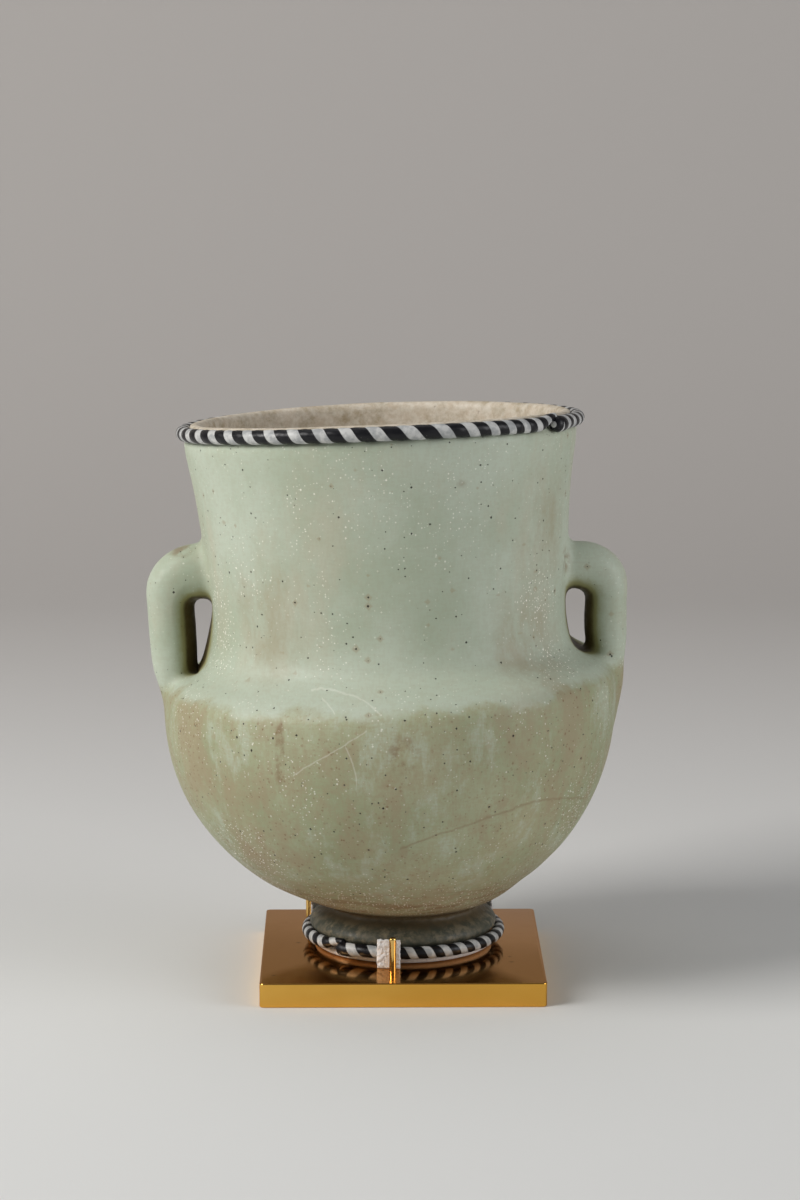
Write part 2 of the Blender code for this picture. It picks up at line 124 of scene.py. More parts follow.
@dataclass(frozen=True)
class JarSizes:
    """Driving sizes of the jar, its foot and its rim, in the upright frame."""

    foot_underside: float = 0.0059
    foot_height: float = 0.00625
    foot_waist_radius: float = 0.0128
    foot_cane_ring: float = 0.01745
    foot_cane_thickness: float = 0.0022
    foot_cane_lift: float = 0.0010
    bowl_radius: float = 0.0411
    bowl_drop: float = 0.0395
    bowl_fullness: float = 2.2
    bowl_wall: float = 0.0037
    bowl_floor: float = 0.0044
    shoulder_rise: float = 0.0102
    neck_radius: float = 0.0320
    neck_narrowest_rise: float = 0.0162
    neck_wall: float = 0.0032
    rim_cane_ring: float = 0.0354
    rim_cane_thickness: float = 0.00254
    rim_cane_rise: float = 0.0499
    lip_rise: float = 0.0016
    lip_thickness: float = 0.00185
    lip_round: float = 0.0013
    fit_gap: float = 0.0003

    @property
    def foot_top(self) -> float:
        """Height at which the foot meets the bowl."""
        return self.foot_underside + self.foot_height

    @property
    def equator(self) -> float:
        """Height of the bowl's widest line, over a bowl that meets the foot at its waist."""
        low_angle = math.asin((self.foot_waist_radius / self.bowl_radius) ** (self.bowl_fullness / 2))
        return self.foot_top + self.bowl_drop * math.cos(low_angle)

    @property
    def neck_narrowest(self) -> float:
        """Height of the neck's narrowest line."""
        return self.equator + self.neck_narrowest_rise

    @property
    def rim_cane_height(self) -> float:
        """Height of the middle of the rim's cane."""
        return self.equator + self.rim_cane_rise

    @property
    def foot_cane_height(self) -> float:
        """Height of the middle of the foot's cane."""
        return self.foot_underside + self.foot_cane_lift


def vertex_places(item: Item) -> np.ndarray:
    """The places of an object's vertices, one row each."""
    places = np.empty(3 * len(item.data.vertices), dtype=np.float32)
    item.data.vertices.foreach_get("co", places)
    return places.reshape(-1, 3).astype(float)


def set_vertex_places(item: Item, places: np.ndarray) -> None:
    """Moves an object's vertices to new places."""
    item.data.vertices.foreach_set("co", places.astype(np.float32).ravel())
    item.data.update()


@dataclass(frozen=True)
class Stance:
    """How the upright jar is settled: its lean, and the slant and warp of its mouth."""

    sizes: JarSizes = JarSizes()
    foot_x: float = 0.0003
    foot_y: float = 0.0029
    lean_left: float = math.radians(0.97)
    lean_back: float = math.radians(1.49)
    bowl_tilt: float = math.radians(0.23)
    shoulder_tilt: float = math.radians(3.09)
    rim_tilt: float = math.radians(2.26)
    rim_drop_back: float = math.radians(3.66)
    rim_warp: float = 0.00031
    offset_left: float = 0.00165
    neck_shift_left: float = 0.0010
    settling_share: float = 0.15

    def place(self, points: np.ndarray) -> np.ndarray:
        """Moves points of the upright jar to their places on the leaning jar.

        Args:
            points: Rows of x, y and z in the upright frame, with the jar's axis at x = y = 0.

        Returns:
            The same points' places in the row's frame.
        """
        sizes = self.sizes
        x, y, z = points.T
        free = smooth_step(sizes.foot_top, sizes.foot_top + self.settling_share * sizes.bowl_drop, z)
        neck = smooth_step(sizes.neck_narrowest, sizes.rim_cane_height, z)
        rise = np.maximum(z - sizes.foot_top, 0.0)
        axis_x = self.foot_x - free * (self.offset_left + math.tan(self.lean_left) * rise
                                       + self.neck_shift_left * neck)
        axis_y = self.foot_y + free * math.tan(self.lean_back) * rise
        low_tilt = mix(self.bowl_tilt, self.shoulder_tilt, smooth_step(sizes.foot_top, sizes.equator, z))
        tilt = np.tan(mix(low_tilt, self.rim_tilt, neck))
        back = np.tan(mix(self.lean_back, self.rim_drop_back, neck))
        reach = np.maximum(np.hypot(x, y), 1e-6)
        warp = neck * self.rim_warp * (y ** 2 - x ** 2) / (reach * sizes.rim_cane_ring)
        lift = free * (tilt * x - back * y + warp)
        return np.stack([x + axis_x, y + axis_y, z + lift], -1)

    def settle(self, item: Item, keep_upright: bool = False) -> None:
        """Settles all of an object's vertices.

        Args:
            item: A mesh object modelled in the upright frame.
            keep_upright: Whether to store each vertex's upright place as the attribute "upright".
        """
        places = vertex_places(item)
        if keep_upright:
            upright = item.data.attributes.new("upright", "FLOAT_VECTOR", "POINT")
            upright.data.foreach_set("vector", places.ravel())
        set_vertex_places(item, self.place(places))


def deselect_all() -> None:
    """Leaves edit mode and empties the selection."""
    if bpy.context.object is not None and bpy.context.object.mode != "OBJECT":
        bpy.ops.object.mode_set(mode="OBJECT")
    bpy.ops.object.select_all(action="DESELECT")


def pick(item: Item) -> None:
    """Makes one object the only selected and active one."""
    deselect_all()
    item.select_set(True)
    bpy.context.view_layer.objects.active = item


def model_rings(name: str, rings: Rings) -> Item:
    """Models a skin by extruding a circle's edge from ring to ring.

    Args:
        name: Name of the new object.
        rings: Rings of points, all with as many points as the first.

    Returns:
        The new object, with both ends closed and its faces pointing out.
    """
    deselect_all()
    sides = len(rings[0])
    bpy.ops.mesh.primitive_circle_add(vertices=sides, radius=0.01, fill_type="NOTHING")
    item = bpy.context.object
    item.name = name
    item.data.name = name
    bpy.ops.object.mode_set(mode="EDIT")
    edit = bmesh.from_edit_mesh(item.data)
    edit.verts.ensure_lookup_table()
    current = list(edit.verts)
    for vertex, place in zip(current, rings[0]):
        vertex.co = place
    for ring in rings[1:]:
        bpy.ops.mesh.extrude_region_move()
        edit = bmesh.from_edit_mesh(item.data)
        edit.verts.ensure_lookup_table()
        risen = []
        for index in [vertex.index for vertex in current]:
            old = edit.verts[index]
            risen.append(next(e.other_vert(old) for e in old.link_edges if e.other_vert(old).select))
        current = risen
        for vertex, place in zip(current, ring):
            vertex.co = place
    bpy.ops.mesh.select_all(action="DESELECT")
    bpy.ops.mesh.select_non_manifold(extend=False)
    bpy.ops.mesh.fill_holes(sides=0)
    bpy.ops.mesh.select_all(action="SELECT")
    bpy.ops.mesh.normals_make_consistent(inside=False)
    bpy.ops.object.mode_set(mode="OBJECT")
    return item


def apply_modifier(item: Item, kind: str, **values: object) -> None:
    """Adds a modifier with the given values and applies it."""
    pick(item)
    modifier = item.modifiers.new(kind.lower(), kind)
    for name, value in values.items():
        setattr(modifier, name, value)
    bpy.ops.object.modifier_apply(modifier=modifier.name)


def shade_smooth(item: Item, angle: float = math.radians(40.0)) -> None:
    """Shades an object smooth, with sharp edges kept past an angle."""
    pick(item)
    bpy.ops.object.shade_smooth_by_angle(angle=angle)


def dress(item: Item, material: Material, nodes: Sequence[str]) -> None:
    """Gives a finished piece its material and body, and hides the nodes that it stands for."""
    item.data.materials.clear()
    item.data.materials.append(material)
    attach(item, ROOT)
    if nodes:
        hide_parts(*nodes)
    LOG.info("%s: %d faces, material %s", item.name, len(item.data.polygons), material.name)


def point_attribute(item: Item, name: str, values: Sequence[float]) -> None:
    """Stores one number for each vertex."""
    attribute = item.data.attributes.new(name, "FLOAT", "POINT")
    attribute.data.foreach_set("value", values)


class NodeBench:
    """Adds and links shader nodes in one tree."""

    def __init__(self, tree: Tree) -> None:
        """Keeps the tree that the nodes go in."""
        self.tree = tree

    def add(self, kind: str, inputs: dict | None = None, **values: object) -> bpy.types.Node:
        """Adds a node.

        Args:
            kind: The node's type name, without its ShaderNode prefix.
            inputs: Values or sockets for named or numbered inputs.
            **values: The node's own properties.

        Returns:
            The new node.
        """
        node = self.tree.nodes.new("ShaderNode" + kind)
        for name, value in values.items():
            setattr(node, name, value)
        for name, value in (inputs or {}).items():
            self.feed(node.inputs[name], value)
        return node

    def feed(self, socket: Socket, value: object) -> None:
        """Links a socket to an input, or sets the input's own value."""
        if isinstance(value, Socket):
            self.tree.links.new(value, socket)
        elif isinstance(value, tuple) and len(value) == 3 and socket.type == "RGBA":
            socket.default_value = (*value, 1.0)
        else:
            socket.default_value = value

    def maths(self, operation: str, first: object, second: object = 0.0) -> Socket:
        """A Math node's result."""
        node = self.add("Math", operation=operation)
        self.feed(node.inputs[0], first)
        self.feed(node.inputs[1], second)
        return node.outputs[0]

    def times(self, first: object, second: object) -> Socket:
        """First times second."""
        return self.maths("MULTIPLY", first, second)

    def plus(self, first: object, second: object) -> Socket:
        """First plus second."""
        return self.maths("ADD", first, second)

    def minus(self, first: object, second: object) -> Socket:
        """First less second."""
        return self.maths("SUBTRACT", first, second)

    def most(self, first: object, second: object) -> Socket:
        """The larger of first and second."""
        return self.maths("MAXIMUM", first, second)

    def waver(self, value: object, ragged: object, amount: float) -> Socket:
        """A value pushed up and down by a noise."""
        return self.plus(value, self.times(self.minus(ragged, 0.5), amount))

    def raise_bump(self, shader: bpy.types.Node, height: object, distance: float, strength: float) -> None:
        """Gives a shader a fine relief."""
        bump = self.add("Bump", {"Height": height, "Distance": distance, "Strength": strength})
        self.feed(shader.inputs["Normal"], bump.outputs[0])

    def spread(self, value: object, low: object, high: object, to_low: float = 0.0,
               to_high: float = 1.0) -> Socket:
        """A value mapped from one range to another with a smooth, clamped step."""
        node = self.add("MapRange", {"Value": value, "From Min": low, "From Max": high, "To Min": to_low,
                                     "To Max": to_high}, interpolation_type="SMOOTHSTEP", clamp=True)
        return node.outputs[0]

    def blend(self, share: object, first: object, second: object, kind: str = "MIX") -> Socket:
        """Two colours mixed by a share."""
        node = self.add("Mix", data_type="RGBA", blend_type=kind)
        self.feed(node.inputs[0], share)
        self.feed(node.inputs[6], first)
        self.feed(node.inputs[7], second)
        return node.outputs[2]

    def cloud(self, place: object, scale: float, detail: float = 3.0, rough: float = 0.55,
              warp: float = 0.0) -> Socket:
        """A soft noise from 0 to 1."""
        node = self.add("TexNoise", {"Vector": place, "Scale": scale, "Detail": detail, "Roughness": rough,
                                     "Distortion": warp})
        return node.outputs[0]

    def stretch(self, place: object, factors: Place, shift: Place = (0.0, 0.0, 0.0)) -> Socket:
        """Coordinates scaled and shifted by a Mapping node."""
        node = self.add("Mapping", {"Vector": place, "Scale": factors, "Location": shift})
        return node.outputs[0]

    def spot(self, place: object, middle: Place, reach: Place, ragged: object) -> Socket:
        """A soft oval mask about a place, with a ragged edge.

        Args:
            place: Coordinates.
            middle: The oval's middle.
            reach: The oval's reach along each axis.
            ragged: A noise from 0 to 1 that the edge follows.

        Returns:
            The mask.
        """
        factors = tuple(1.0 / part for part in reach)
        shift = tuple(-part * factor for part, factor in zip(middle, factors))
        local = self.stretch(place, factors, shift)
        away = self.add("VectorMath", {0: local}, operation="LENGTH").outputs["Value"]
        return self.spread(self.plus(away, ragged), 0.85, 1.75, 1.0, 0.0)

    def parts(self, vector: object) -> Sequence[Socket]:
        """The three parts of a vector."""
        return self.add("SeparateXYZ", {0: vector}).outputs

    def attribute(self, name: str) -> bpy.types.Node:
        """A node that reads a mesh attribute."""
        return self.add("Attribute", attribute_name=name, attribute_type="GEOMETRY")

    def group(self, tree: Tree, inputs: dict) -> Sequence[Socket]:
        """Places a shared effect and gives its outputs."""
        node = self.add("Group", node_tree=tree)
        for name, value in inputs.items():
            self.feed(node.inputs[name], value)
        return node.outputs


def new_group(name: str, inputs: Sequence[tuple[str, str, float]], outputs: Sequence[str]) -> tuple:
    """Starts a shader node group.

    Args:
        name: The group's name.
        inputs: Each input's name, socket kind and starting value.
        outputs: Names of the outputs, all plain values.

    Returns:
        The tree, a bench for it, its inputs' sockets by name and its output node.
    """
    tree = bpy.data.node_groups.new(name, "ShaderNodeTree")
    for label, kind, value in inputs:
        socket = tree.interface.new_socket(name=label, in_out="INPUT", socket_type="NodeSocket" + kind)
        if kind == "Float":
            socket.default_value = value
    for label in outputs:
        tree.interface.new_socket(name=label, in_out="OUTPUT", socket_type="NodeSocketFloat")
    bench = NodeBench(tree)
    entry = tree.nodes.new("NodeGroupInput")
    leave = tree.nodes.new("NodeGroupOutput")
    return tree, bench, {label: entry.outputs[label] for label, _, _ in inputs}, leave


def build_speckles() -> Tree:
    """Small round specks of uneven size, spread at random and thinned out by a density.

    Returns:
        A group with inputs Vector, Scale, Size and Density and the output Mask.
    """
    tree, bench, given, leave = new_group(
        "speckles", (("Vector", "Vector", 0.0), ("Scale", "Float", 1000.0), ("Size", "Float", 0.3),
                     ("Density", "Float", 0.5)), ("Mask",))
    cells = bench.add("TexVoronoi", {"Vector": given["Vector"], "Scale": given["Scale"]}, feature="F1",
                      distance="MANHATTAN")
    luck = bench.parts(cells.outputs["Color"])
    kept = bench.maths("LESS_THAN", luck[0], given["Density"])
    size = bench.times(given["Size"], bench.spread(luck[1], 0.0, 1.0, 0.45, 1.0))
    speck = bench.spread(cells.outputs["Distance"], bench.times(size, 0.55), size, 1.0, 0.0)
    bench.feed(leave.inputs["Mask"], bench.times(kept, speck))
    return tree


def build_arc_line() -> Tree:
    """A fine line along a circle's arc, seen from the front, for cracks and fissures.

    Returns:
        A group with inputs X, Z, Middle X, Middle Z, Radius, From X, To X, Width and Half, which is 1 for
        the upper half of the circle and -1 for the lower one, and the output Mask.
    """
    names = ("X", "Z", "Middle X", "Middle Z", "Radius", "From X", "To X", "Width", "Half")
    tree, bench, given, leave = new_group("arc_line", [(name, "Float", 0.0) for name in names], ("Mask",))
    across = bench.minus(given["X"], given["Middle X"])
    above = bench.minus(given["Z"], given["Middle Z"])
    square = bench.plus(bench.times(across, across), bench.times(above, above))
    off = bench.maths("ABSOLUTE", bench.minus(bench.maths("SQRT", square), given["Radius"]))
    line = bench.spread(off, 0.0, given["Width"], 1.0, 0.0)
    after = bench.maths("GREATER_THAN", given["X"], given["From X"])
    before = bench.maths("LESS_THAN", given["X"], given["To X"])
    kept = bench.maths("GREATER_THAN", bench.times(above, given["Half"]), 0.0)
    kept = bench.times(kept, bench.times(after, before))
    bench.feed(leave.inputs["Mask"], bench.times(line, kept))
    return tree


def new_material(name: str) -> tuple:
    """Starts a material.

    Args:
        name: The material's name.

    Returns:
        The material, its bench, its Principled shader and its object coordinates.
    """
    material = bpy.data.materials.new(name)
    material.use_nodes = True
    bench = NodeBench(material.node_tree)
    place = bench.add("TexCoord").outputs["Object"]
    return material, bench, material.node_tree.nodes["Principled BSDF"], place


def arc_through(points: Sequence[tuple[float, float]]) -> tuple[float, float, float]:
    """The circle through three points of the front view.

    Args:
        points: Three places, each as x and z.

    Returns:
        The circle's middle x, middle z and radius.
    """
    (ax, az), (bx, bz), (cx, cz) = points
    twice = 2.0 * (ax * (bz - cz) + bx * (cz - az) + cx * (az - bz))
    a, b, c = ax * ax + az * az, bx * bx + bz * bz, cx * cx + cz * cz
    middle_x = (a * (bz - cz) + b * (cz - az) + c * (az - bz)) / twice
    middle_z = (a * (cx - bx) + b * (ax - cx) + c * (bx - ax)) / twice
    return middle_x, middle_z, math.hypot(ax - middle_x, az - middle_z)


@dataclass
class GlassLayers:
    """The colour of the jar's glass as it grows layer by layer, with what the layers share.

    Attributes:
        bench: The bench of the jar's material.
        speckles: The shared group of small specks.
        arc_line: The shared group of fine arcs.
        place: Object coordinates.
        height: Height on the upright jar.
        streaks: Noise that runs up and down.
        ragged: Noise that the edges of spots follow.
        fine: Fine noise.
        bowl: Mask of the stained bowl.
        low: Mask of the bowl's crusted bottom.
        colour: The colour so far.
    """

    bench: NodeBench
    speckles: Tree
    arc_line: Tree
    place: Socket
    height: Socket
    streaks: Socket
    ragged: Socket
    fine: Socket
    bowl: Socket
    low: Socket
    colour: object = (0.0, 0.0, 0.0)

    def lay(self, colour: object, mask: object, strength: float = 1.0) -> None:
        """Lays a colour over the colour so far, as strongly as a mask and a strength say."""
        self.colour = self.bench.blend(self.bench.times(mask, strength), self.colour, colour)

    def specks(self, scale: float, size: float, density: object) -> Socket:
        """Mask of small specks."""
        return self.bench.group(self.speckles, {"Vector": self.place, "Scale": scale, "Size": size,
                                                "Density": density})[0]

    def spot(self, middle: Place, reach: Place) -> Socket:
        """Mask of one ragged oval spot."""
        return self.bench.spot(self.place, middle, reach, self.ragged)


@dataclass(frozen=True)
class GlassFinish:
    """Milky pale green glass, weathered and stained, as the front of the jar shows it."""

    sizes: JarSizes = JarSizes()
    green: Colour = (0.395, 0.450, 0.335)
    pale: Colour = (0.495, 0.550, 0.445)
    cream: Colour = (0.490, 0.465, 0.350)
    tan: Colour = (0.340, 0.270, 0.165)
    rust: Colour = (0.200, 0.105, 0.042)
    stain: Colour = (0.790, 0.745, 0.590)
    inner: Colour = (0.560, 0.470, 0.360)
    # Dark foot: partly dark stained glass, partly painted shade cast by the bowl above it.
    foot: Colour = (0.055, 0.058, 0.041)
    # Brown in the crease between foot and bowl: partly stain, partly painted shade.
    groove_stain_and_shade: Colour = (0.075, 0.050, 0.020)
    crust: Colour = (0.370, 0.295, 0.185)
    # Olive fringe round the hollows behind the handles: partly stain, partly painted glow of light through
    # the thin glass.
    olive_stain_and_glow: Colour = (0.270, 0.250, 0.095)
    # Hollows behind the handles: partly soot, partly painted shade.
    soot_and_shade: Colour = (0.075, 0.050, 0.013)
    pit: Colour = (0.016, 0.012, 0.007)
    frost: Colour = (0.960, 0.940, 0.860)
    roughness: float = 0.50
    frost_gloss: float = 0.15
    grain_relief: float = 0.35
    pit_relief: float = 2.0
    stain_edge: tuple = (0.0553, 0.0528)
    stain_waver: float = 0.009
    crust_edge: tuple = (0.0265, 0.0155)
    rings_edge: tuple = (0.0220, 0.0150)
    rings_strength: float = 0.55
    # Painted highlight: a pale band on the upward-facing shoulder, partly the glass's pale colour and partly
    # the light falling on it.
    shoulder_highlight_from: tuple = (0.0520, 0.0550)
    shoulder_highlight_to: tuple = (0.0575, 0.0640)
    shoulder_highlight_strength: float = 0.60
    tan_spot_strength: float = 0.52
    rust_spot_strength: float = 0.62
    halo_strength: float = 0.45
    pit_strength: float = 0.95
    line_waver: float = 0.0014
    crack_width: float = 0.00022
    crack_strength: float = 0.22
    fissure_width: float = 0.00040
    fissure_strength: float = 0.34
    groove_waver: float = 0.0012
    groove_strength: float = 0.9
    soot_and_shade_waver: float = 0.25
    sparkles: tuple = (((-0.0270, -0.0175, 0.0260), (0.0090, 0.0120, 0.0110)),
                       ((-0.0325, -0.0060, 0.0650), (0.0050, 0.0120, 0.0120)),
                       ((0.0244, -0.0134, 0.0710), (0.0060, 0.0100, 0.0070)),
                       ((0.0268, -0.0153, 0.0600), (0.0055, 0.0100, 0.0070)),
                       ((0.0310, -0.0140, 0.0300), (0.0070, 0.0120, 0.0130)))
    rust_spots: tuple = (((-0.0002, -0.0370, 0.0480), (0.0028, 0.0080, 0.0034)),
                         ((-0.0214, -0.0300, 0.0475), (0.0009, 0.0100, 0.0075)),
                         ((-0.0395, 0.0030, 0.0770), (0.0024, 0.0026, 0.0016)),
                         ((0.0292, -0.0019, 0.0761), (0.0012, 0.0030, 0.0024)),
                         ((0.0105, -0.0360, 0.0270), (0.0060, 0.0090, 0.0026)),
                         ((0.0100, -0.0330, 0.0935), (0.0012, 0.0080, 0.0011)))
    tan_spots: tuple = (((-0.0235, -0.0200, 0.0700), (0.0070, 0.0130, 0.0130)),
                        ((0.0225, -0.0200, 0.0640), (0.0080, 0.0150, 0.0120)),
                        ((0.0270, -0.0180, 0.0840), (0.0070, 0.0150, 0.0130)),
                        ((-0.0285, -0.0200, 0.0270), (0.0080, 0.0130, 0.0080)),
                        ((0.0010, -0.0370, 0.0465), (0.0150, 0.0100, 0.0075)),
                        ((-0.0300, -0.0180, 0.0400), (0.0060, 0.0150, 0.0080)))
    pale_cracks: tuple = (((-0.0064, 0.0525), (-0.0120, 0.0486), (-0.0191, 0.0438)),
                          ((-0.0101, 0.0496), (-0.0088, 0.0465), (-0.0081, 0.0431)),
                          ((-0.0160, 0.0577), (-0.0105, 0.0579), (-0.0040, 0.0550)),
                          ((-0.0141, 0.0570), (-0.0129, 0.0560), (-0.0118, 0.0547)))
    fissures: tuple = (((-0.0007, 0.0306), (0.0080, 0.0337), (0.0200, 0.0369)),
                       ((0.0200, 0.0369), (0.0265, 0.0371), (0.0324, 0.0346)))

    def build(self, speckles: Tree, arc_line: Tree) -> Material:
        """Builds the jar's material.

        Args:
            speckles: The shared group of small specks.
            arc_line: The shared group of fine arcs.

        Returns:
            The material.
        """
        material, bench, shader, place = new_material("weathered_green_glass")
        height = bench.parts(bench.attribute("upright").outputs["Vector"])[2]
        wavering = bench.waver(height, bench.cloud(place, 90.0, 6.0, 0.62), self.stain_waver)
        layers = GlassLayers(bench, speckles, arc_line, place, height,
                             streaks=bench.cloud(bench.stretch(place, (1.0, 1.0, 0.45)), 120.0, 6.0, 0.72),
                             ragged=bench.cloud(place, 240.0, 4.0, 0.7),
                             fine=bench.cloud(place, 620.0, 4.0, 0.7),
                             bowl=bench.spread(wavering, *self.stain_edge),
                             low=bench.spread(wavering, *self.crust_edge))
        self.ground(layers)
        self.dots(layers)
        self.crusts(layers)
        frost = self.frosting(layers)
        layers.lay(self.frost, frost)
        dark = self.pits(layers)
        layers.lay(self.frost, self.lines(layers, self.pale_cracks, self.crack_width), self.crack_strength)
        layers.lay(self.rust, self.lines(layers, self.fissures, self.fissure_width), self.fissure_strength)
        self.foot_and_groove(layers)
        self.inside_soot_and_shade(layers)
        bench.feed(shader.inputs["Base Color"], layers.colour)
        grain = bench.cloud(place, 900.0, 3.0, 0.6)
        rough = bench.spread(grain, 0.3, 0.7, self.roughness - 0.05, self.roughness + 0.12)
        bench.feed(shader.inputs["Roughness"], bench.minus(rough, bench.times(frost, self.frost_gloss)))
        relief = bench.minus(bench.times(grain, self.grain_relief), bench.times(dark, self.pit_relief))
        bench.raise_bump(shader, relief, 0.00009, 0.75)
        shader.inputs["IOR"].default_value = 1.5
        shader.inputs["Specular IOR Level"].default_value = 0.38
        return material

    def ground(self, layers: GlassLayers) -> None:
        """Lays the green of the neck, the pale shoulder band, partly pale glass and partly a painted
        highlight, and the stained bowl.
        """
        bench = layers.bench
        clouds = bench.cloud(layers.place, 34.0, 5.0, 0.6)
        layers.colour = bench.blend(bench.spread(clouds, 0.36, 0.66), self.green, self.pale)
        warm = bench.cloud(bench.stretch(layers.place, (1.0, 1.0, 0.4), (0.2, 0.0, 0.0)), 60.0, 6.0, 0.66)
        layers.lay(self.cream, bench.spread(warm, 0.48, 0.70, 0.0, 0.6))
        # Painted highlight: the shoulder's upward face is laid paler, as if lit from above, over its pale
        # glass.
        shoulder_highlight_band = bench.times(bench.spread(layers.height, *self.shoulder_highlight_from),
                           bench.spread(layers.height, *self.shoulder_highlight_to, 1.0, 0.0))
        layers.lay(self.pale, shoulder_highlight_band, self.shoulder_highlight_strength)
        layers.lay(bench.blend(1.0, layers.colour, self.stain, "MULTIPLY"), layers.bowl)
        for colour, low, high, strength in ((self.tan, 0.47, 0.64, 0.62), (self.pale, 0.48, 0.36, 0.45)):
            layers.lay(colour, bench.times(layers.bowl, bench.spread(layers.streaks, low, high)), strength)
        streaky = bench.spread(layers.streaks, 0.32, 0.60)
        for middle, reach in self.tan_spots:
            layers.lay(self.tan, bench.times(layers.spot(middle, reach), streaky), self.tan_spot_strength)

    def dots(self, layers: GlassLayers) -> None:
        """Lays brown dots, a woven grain and rusty spots, dense on the bowl."""
        bench = layers.bench
        share = bench.times(bench.spread(layers.bowl, 0.0, 1.0, 0.10, 1.0),
                            bench.spread(layers.streaks, 0.40, 0.66, 0.06, 0.80))
        layers.lay(self.rust, bench.times(layers.specks(1350.0, 0.58, 0.58), share))
        weave = bench.times(*[bench.cloud(bench.stretch(layers.place, factors), 700.0, 2.0)
                              for factors in ((1.0, 1.0, 3.5), (3.5, 1.0, 1.0))])
        share = bench.spread(layers.bowl, 0.0, 1.0, 0.10, 0.28)
        layers.lay(self.tan, bench.times(bench.spread(weave, 0.20, 0.32), share))
        broken = bench.spread(layers.ragged, 0.60, 0.42)
        for middle, reach in self.rust_spots:
            layers.lay(self.rust, bench.times(layers.spot(middle, reach), broken), self.rust_spot_strength)

    def crusts(self, layers: GlassLayers) -> None:
        """Lays the crust and the rusty rings on the bowl's bottom."""
        bench = layers.bench
        layers.lay(self.crust, bench.times(layers.low, bench.spread(layers.fine, 0.42, 0.60, 0.2, 0.8)))
        bands = bench.cloud(bench.stretch(layers.place, (1.0, 1.0, 7.0)), 130.0, 4.0, 0.6)
        rings = bench.times(bench.spread(bands, 0.50, 0.60), bench.spread(layers.height, *self.rings_edge))
        layers.lay(self.rust, rings, self.rings_strength)

    def frosting(self, layers: GlassLayers) -> Socket:
        """Mask of the fine sugary specks, dense in a few patches and round the bowl's bottom."""
        bench = layers.bench
        total = layers.low
        for middle, reach in self.sparkles:
            total = bench.most(total, layers.spot(middle, reach))
        patchy = bench.cloud(bench.stretch(layers.place, (1.0, 1.0, 0.5), (0.0, 0.3, 0.1)), 85.0, 4.0)
        total = bench.most(total, bench.times(bench.spread(patchy, 0.46, 0.66), 0.50))
        share = bench.spread(total, 0.0, 1.0, 0.09, 0.72)
        fine = layers.specks(2000.0, 0.56, share)
        coarse = layers.specks(1300.0, 0.42, bench.times(share, 0.35))
        return bench.most(bench.times(fine, bench.spread(total, 0.0, 1.0, 0.26, 0.85)),
                          bench.times(coarse, bench.spread(total, 0.0, 1.0, 0.38, 1.00)))

    def pits(self, layers: GlassLayers) -> Socket:
        """Lays tan halos and dark pits, and gives the pits' mask."""
        layers.lay(self.tan, layers.specks(480.0, 0.560, 0.10), self.halo_strength)
        dark = layers.bench.most(layers.specks(480.0, 0.180, 0.38), layers.specks(900.0, 0.280, 0.26))
        layers.lay(self.pit, dark, self.pit_strength)
        return dark

    def lines(self, layers: GlassLayers, arcs: tuple, width: float) -> Socket:
        """Mask of fine wavy lines on the front.

        Args:
            layers: The jar's layers.
            arcs: Three points, as x and z, for each line.
            width: How far a line reaches from its middle.

        Returns:
            The mask.
        """
        bench = layers.bench
        x, y, z = bench.parts(layers.place)
        wavy = bench.waver(z, layers.ragged, self.line_waver)
        total: object = 0.0
        for points in arcs:
            middle_x, middle_z, radius = arc_through(points)
            ends = sorted(point[0] for point in points)
            half = math.copysign(1.0, points[1][1] - middle_z)
            line = bench.group(layers.arc_line, {
                "X": x, "Z": wavy, "Middle X": middle_x, "Middle Z": middle_z, "Radius": radius,
                "From X": ends[0], "To X": ends[-1], "Width": width, "Half": half})[0]
            total = bench.most(total, line)
        return bench.times(total, bench.maths("LESS_THAN", y, 0.0))

    def foot_and_groove(self, layers: GlassLayers) -> None:
        """Lays the dark foot and the brown groove where it meets the bowl, both partly stain and partly
        painted shade from the bowl above.
        """
        bench = layers.bench
        top = self.sizes.foot_top
        # Painted shade: the whole foot under the bowl is laid dark, as the bowl's shade falls on it, flecked
        # with crust.
        foot = bench.blend(bench.spread(layers.fine, 0.40, 0.64, 0.0, 0.7), self.foot, self.crust)
        clouds = bench.cloud(layers.place, 110.0, 4.0)
        foot = bench.blend(bench.spread(clouds, 0.40, 0.66, 0.3, 0.9), foot, self.foot)
        layers.lay(foot, bench.spread(layers.height, top + 0.0006, top - 0.0004))
        # Painted shade in the crease where the foot meets the bowl, over brown stain.
        wavering = bench.waver(layers.height, layers.fine, self.groove_waver)
        groove_stain_and_shade = bench.times(bench.spread(wavering, top - 0.0022, top - 0.0006),
                             bench.spread(wavering, top + 0.0006, top + 0.0024, 1.0, 0.0))
        layers.lay(self.groove_stain_and_shade, groove_stain_and_shade, self.groove_strength)

    def inside_soot_and_shade(self, layers: GlassLayers) -> None:
        """Lays the stained inside, the lip and the hollows behind the handles, partly soot and partly painted
        shade.
        """
        bench = layers.bench
        clouds = bench.cloud(layers.place, 210.0, 7.0, 0.75)
        inner = bench.blend(bench.spread(clouds, 0.38, 0.70), self.inner, self.tan)
        inner = bench.blend(bench.spread(layers.fine, 0.30, 0.70, 0.0, 0.35), inner, self.frost)
        layers.lay(inner, bench.attribute("inside").outputs["Fac"])
        lip = self.sizes.rim_cane_height
        layers.lay(inner, bench.spread(layers.height, lip + 0.0001, lip + 0.0007, 0.0, 0.95))
        # Painted shade: the hollows between handles and neck are laid dark, over real soot.
        soot_and_shade = bench.waver(bench.attribute("soot_and_shade").outputs["Fac"], layers.fine, self.soot_and_shade_waver)
        # Painted glow: an olive fringe round the dark hollows, where light shines through the glass, partly
        # stain.
        layers.lay(self.olive_stain_and_glow, bench.spread(soot_and_shade, 0.02, 0.45, 0.0, 0.85))
        layers.lay(self.soot_and_shade, bench.spread(soot_and_shade, 0.45, 0.95, 0.0, 0.92))


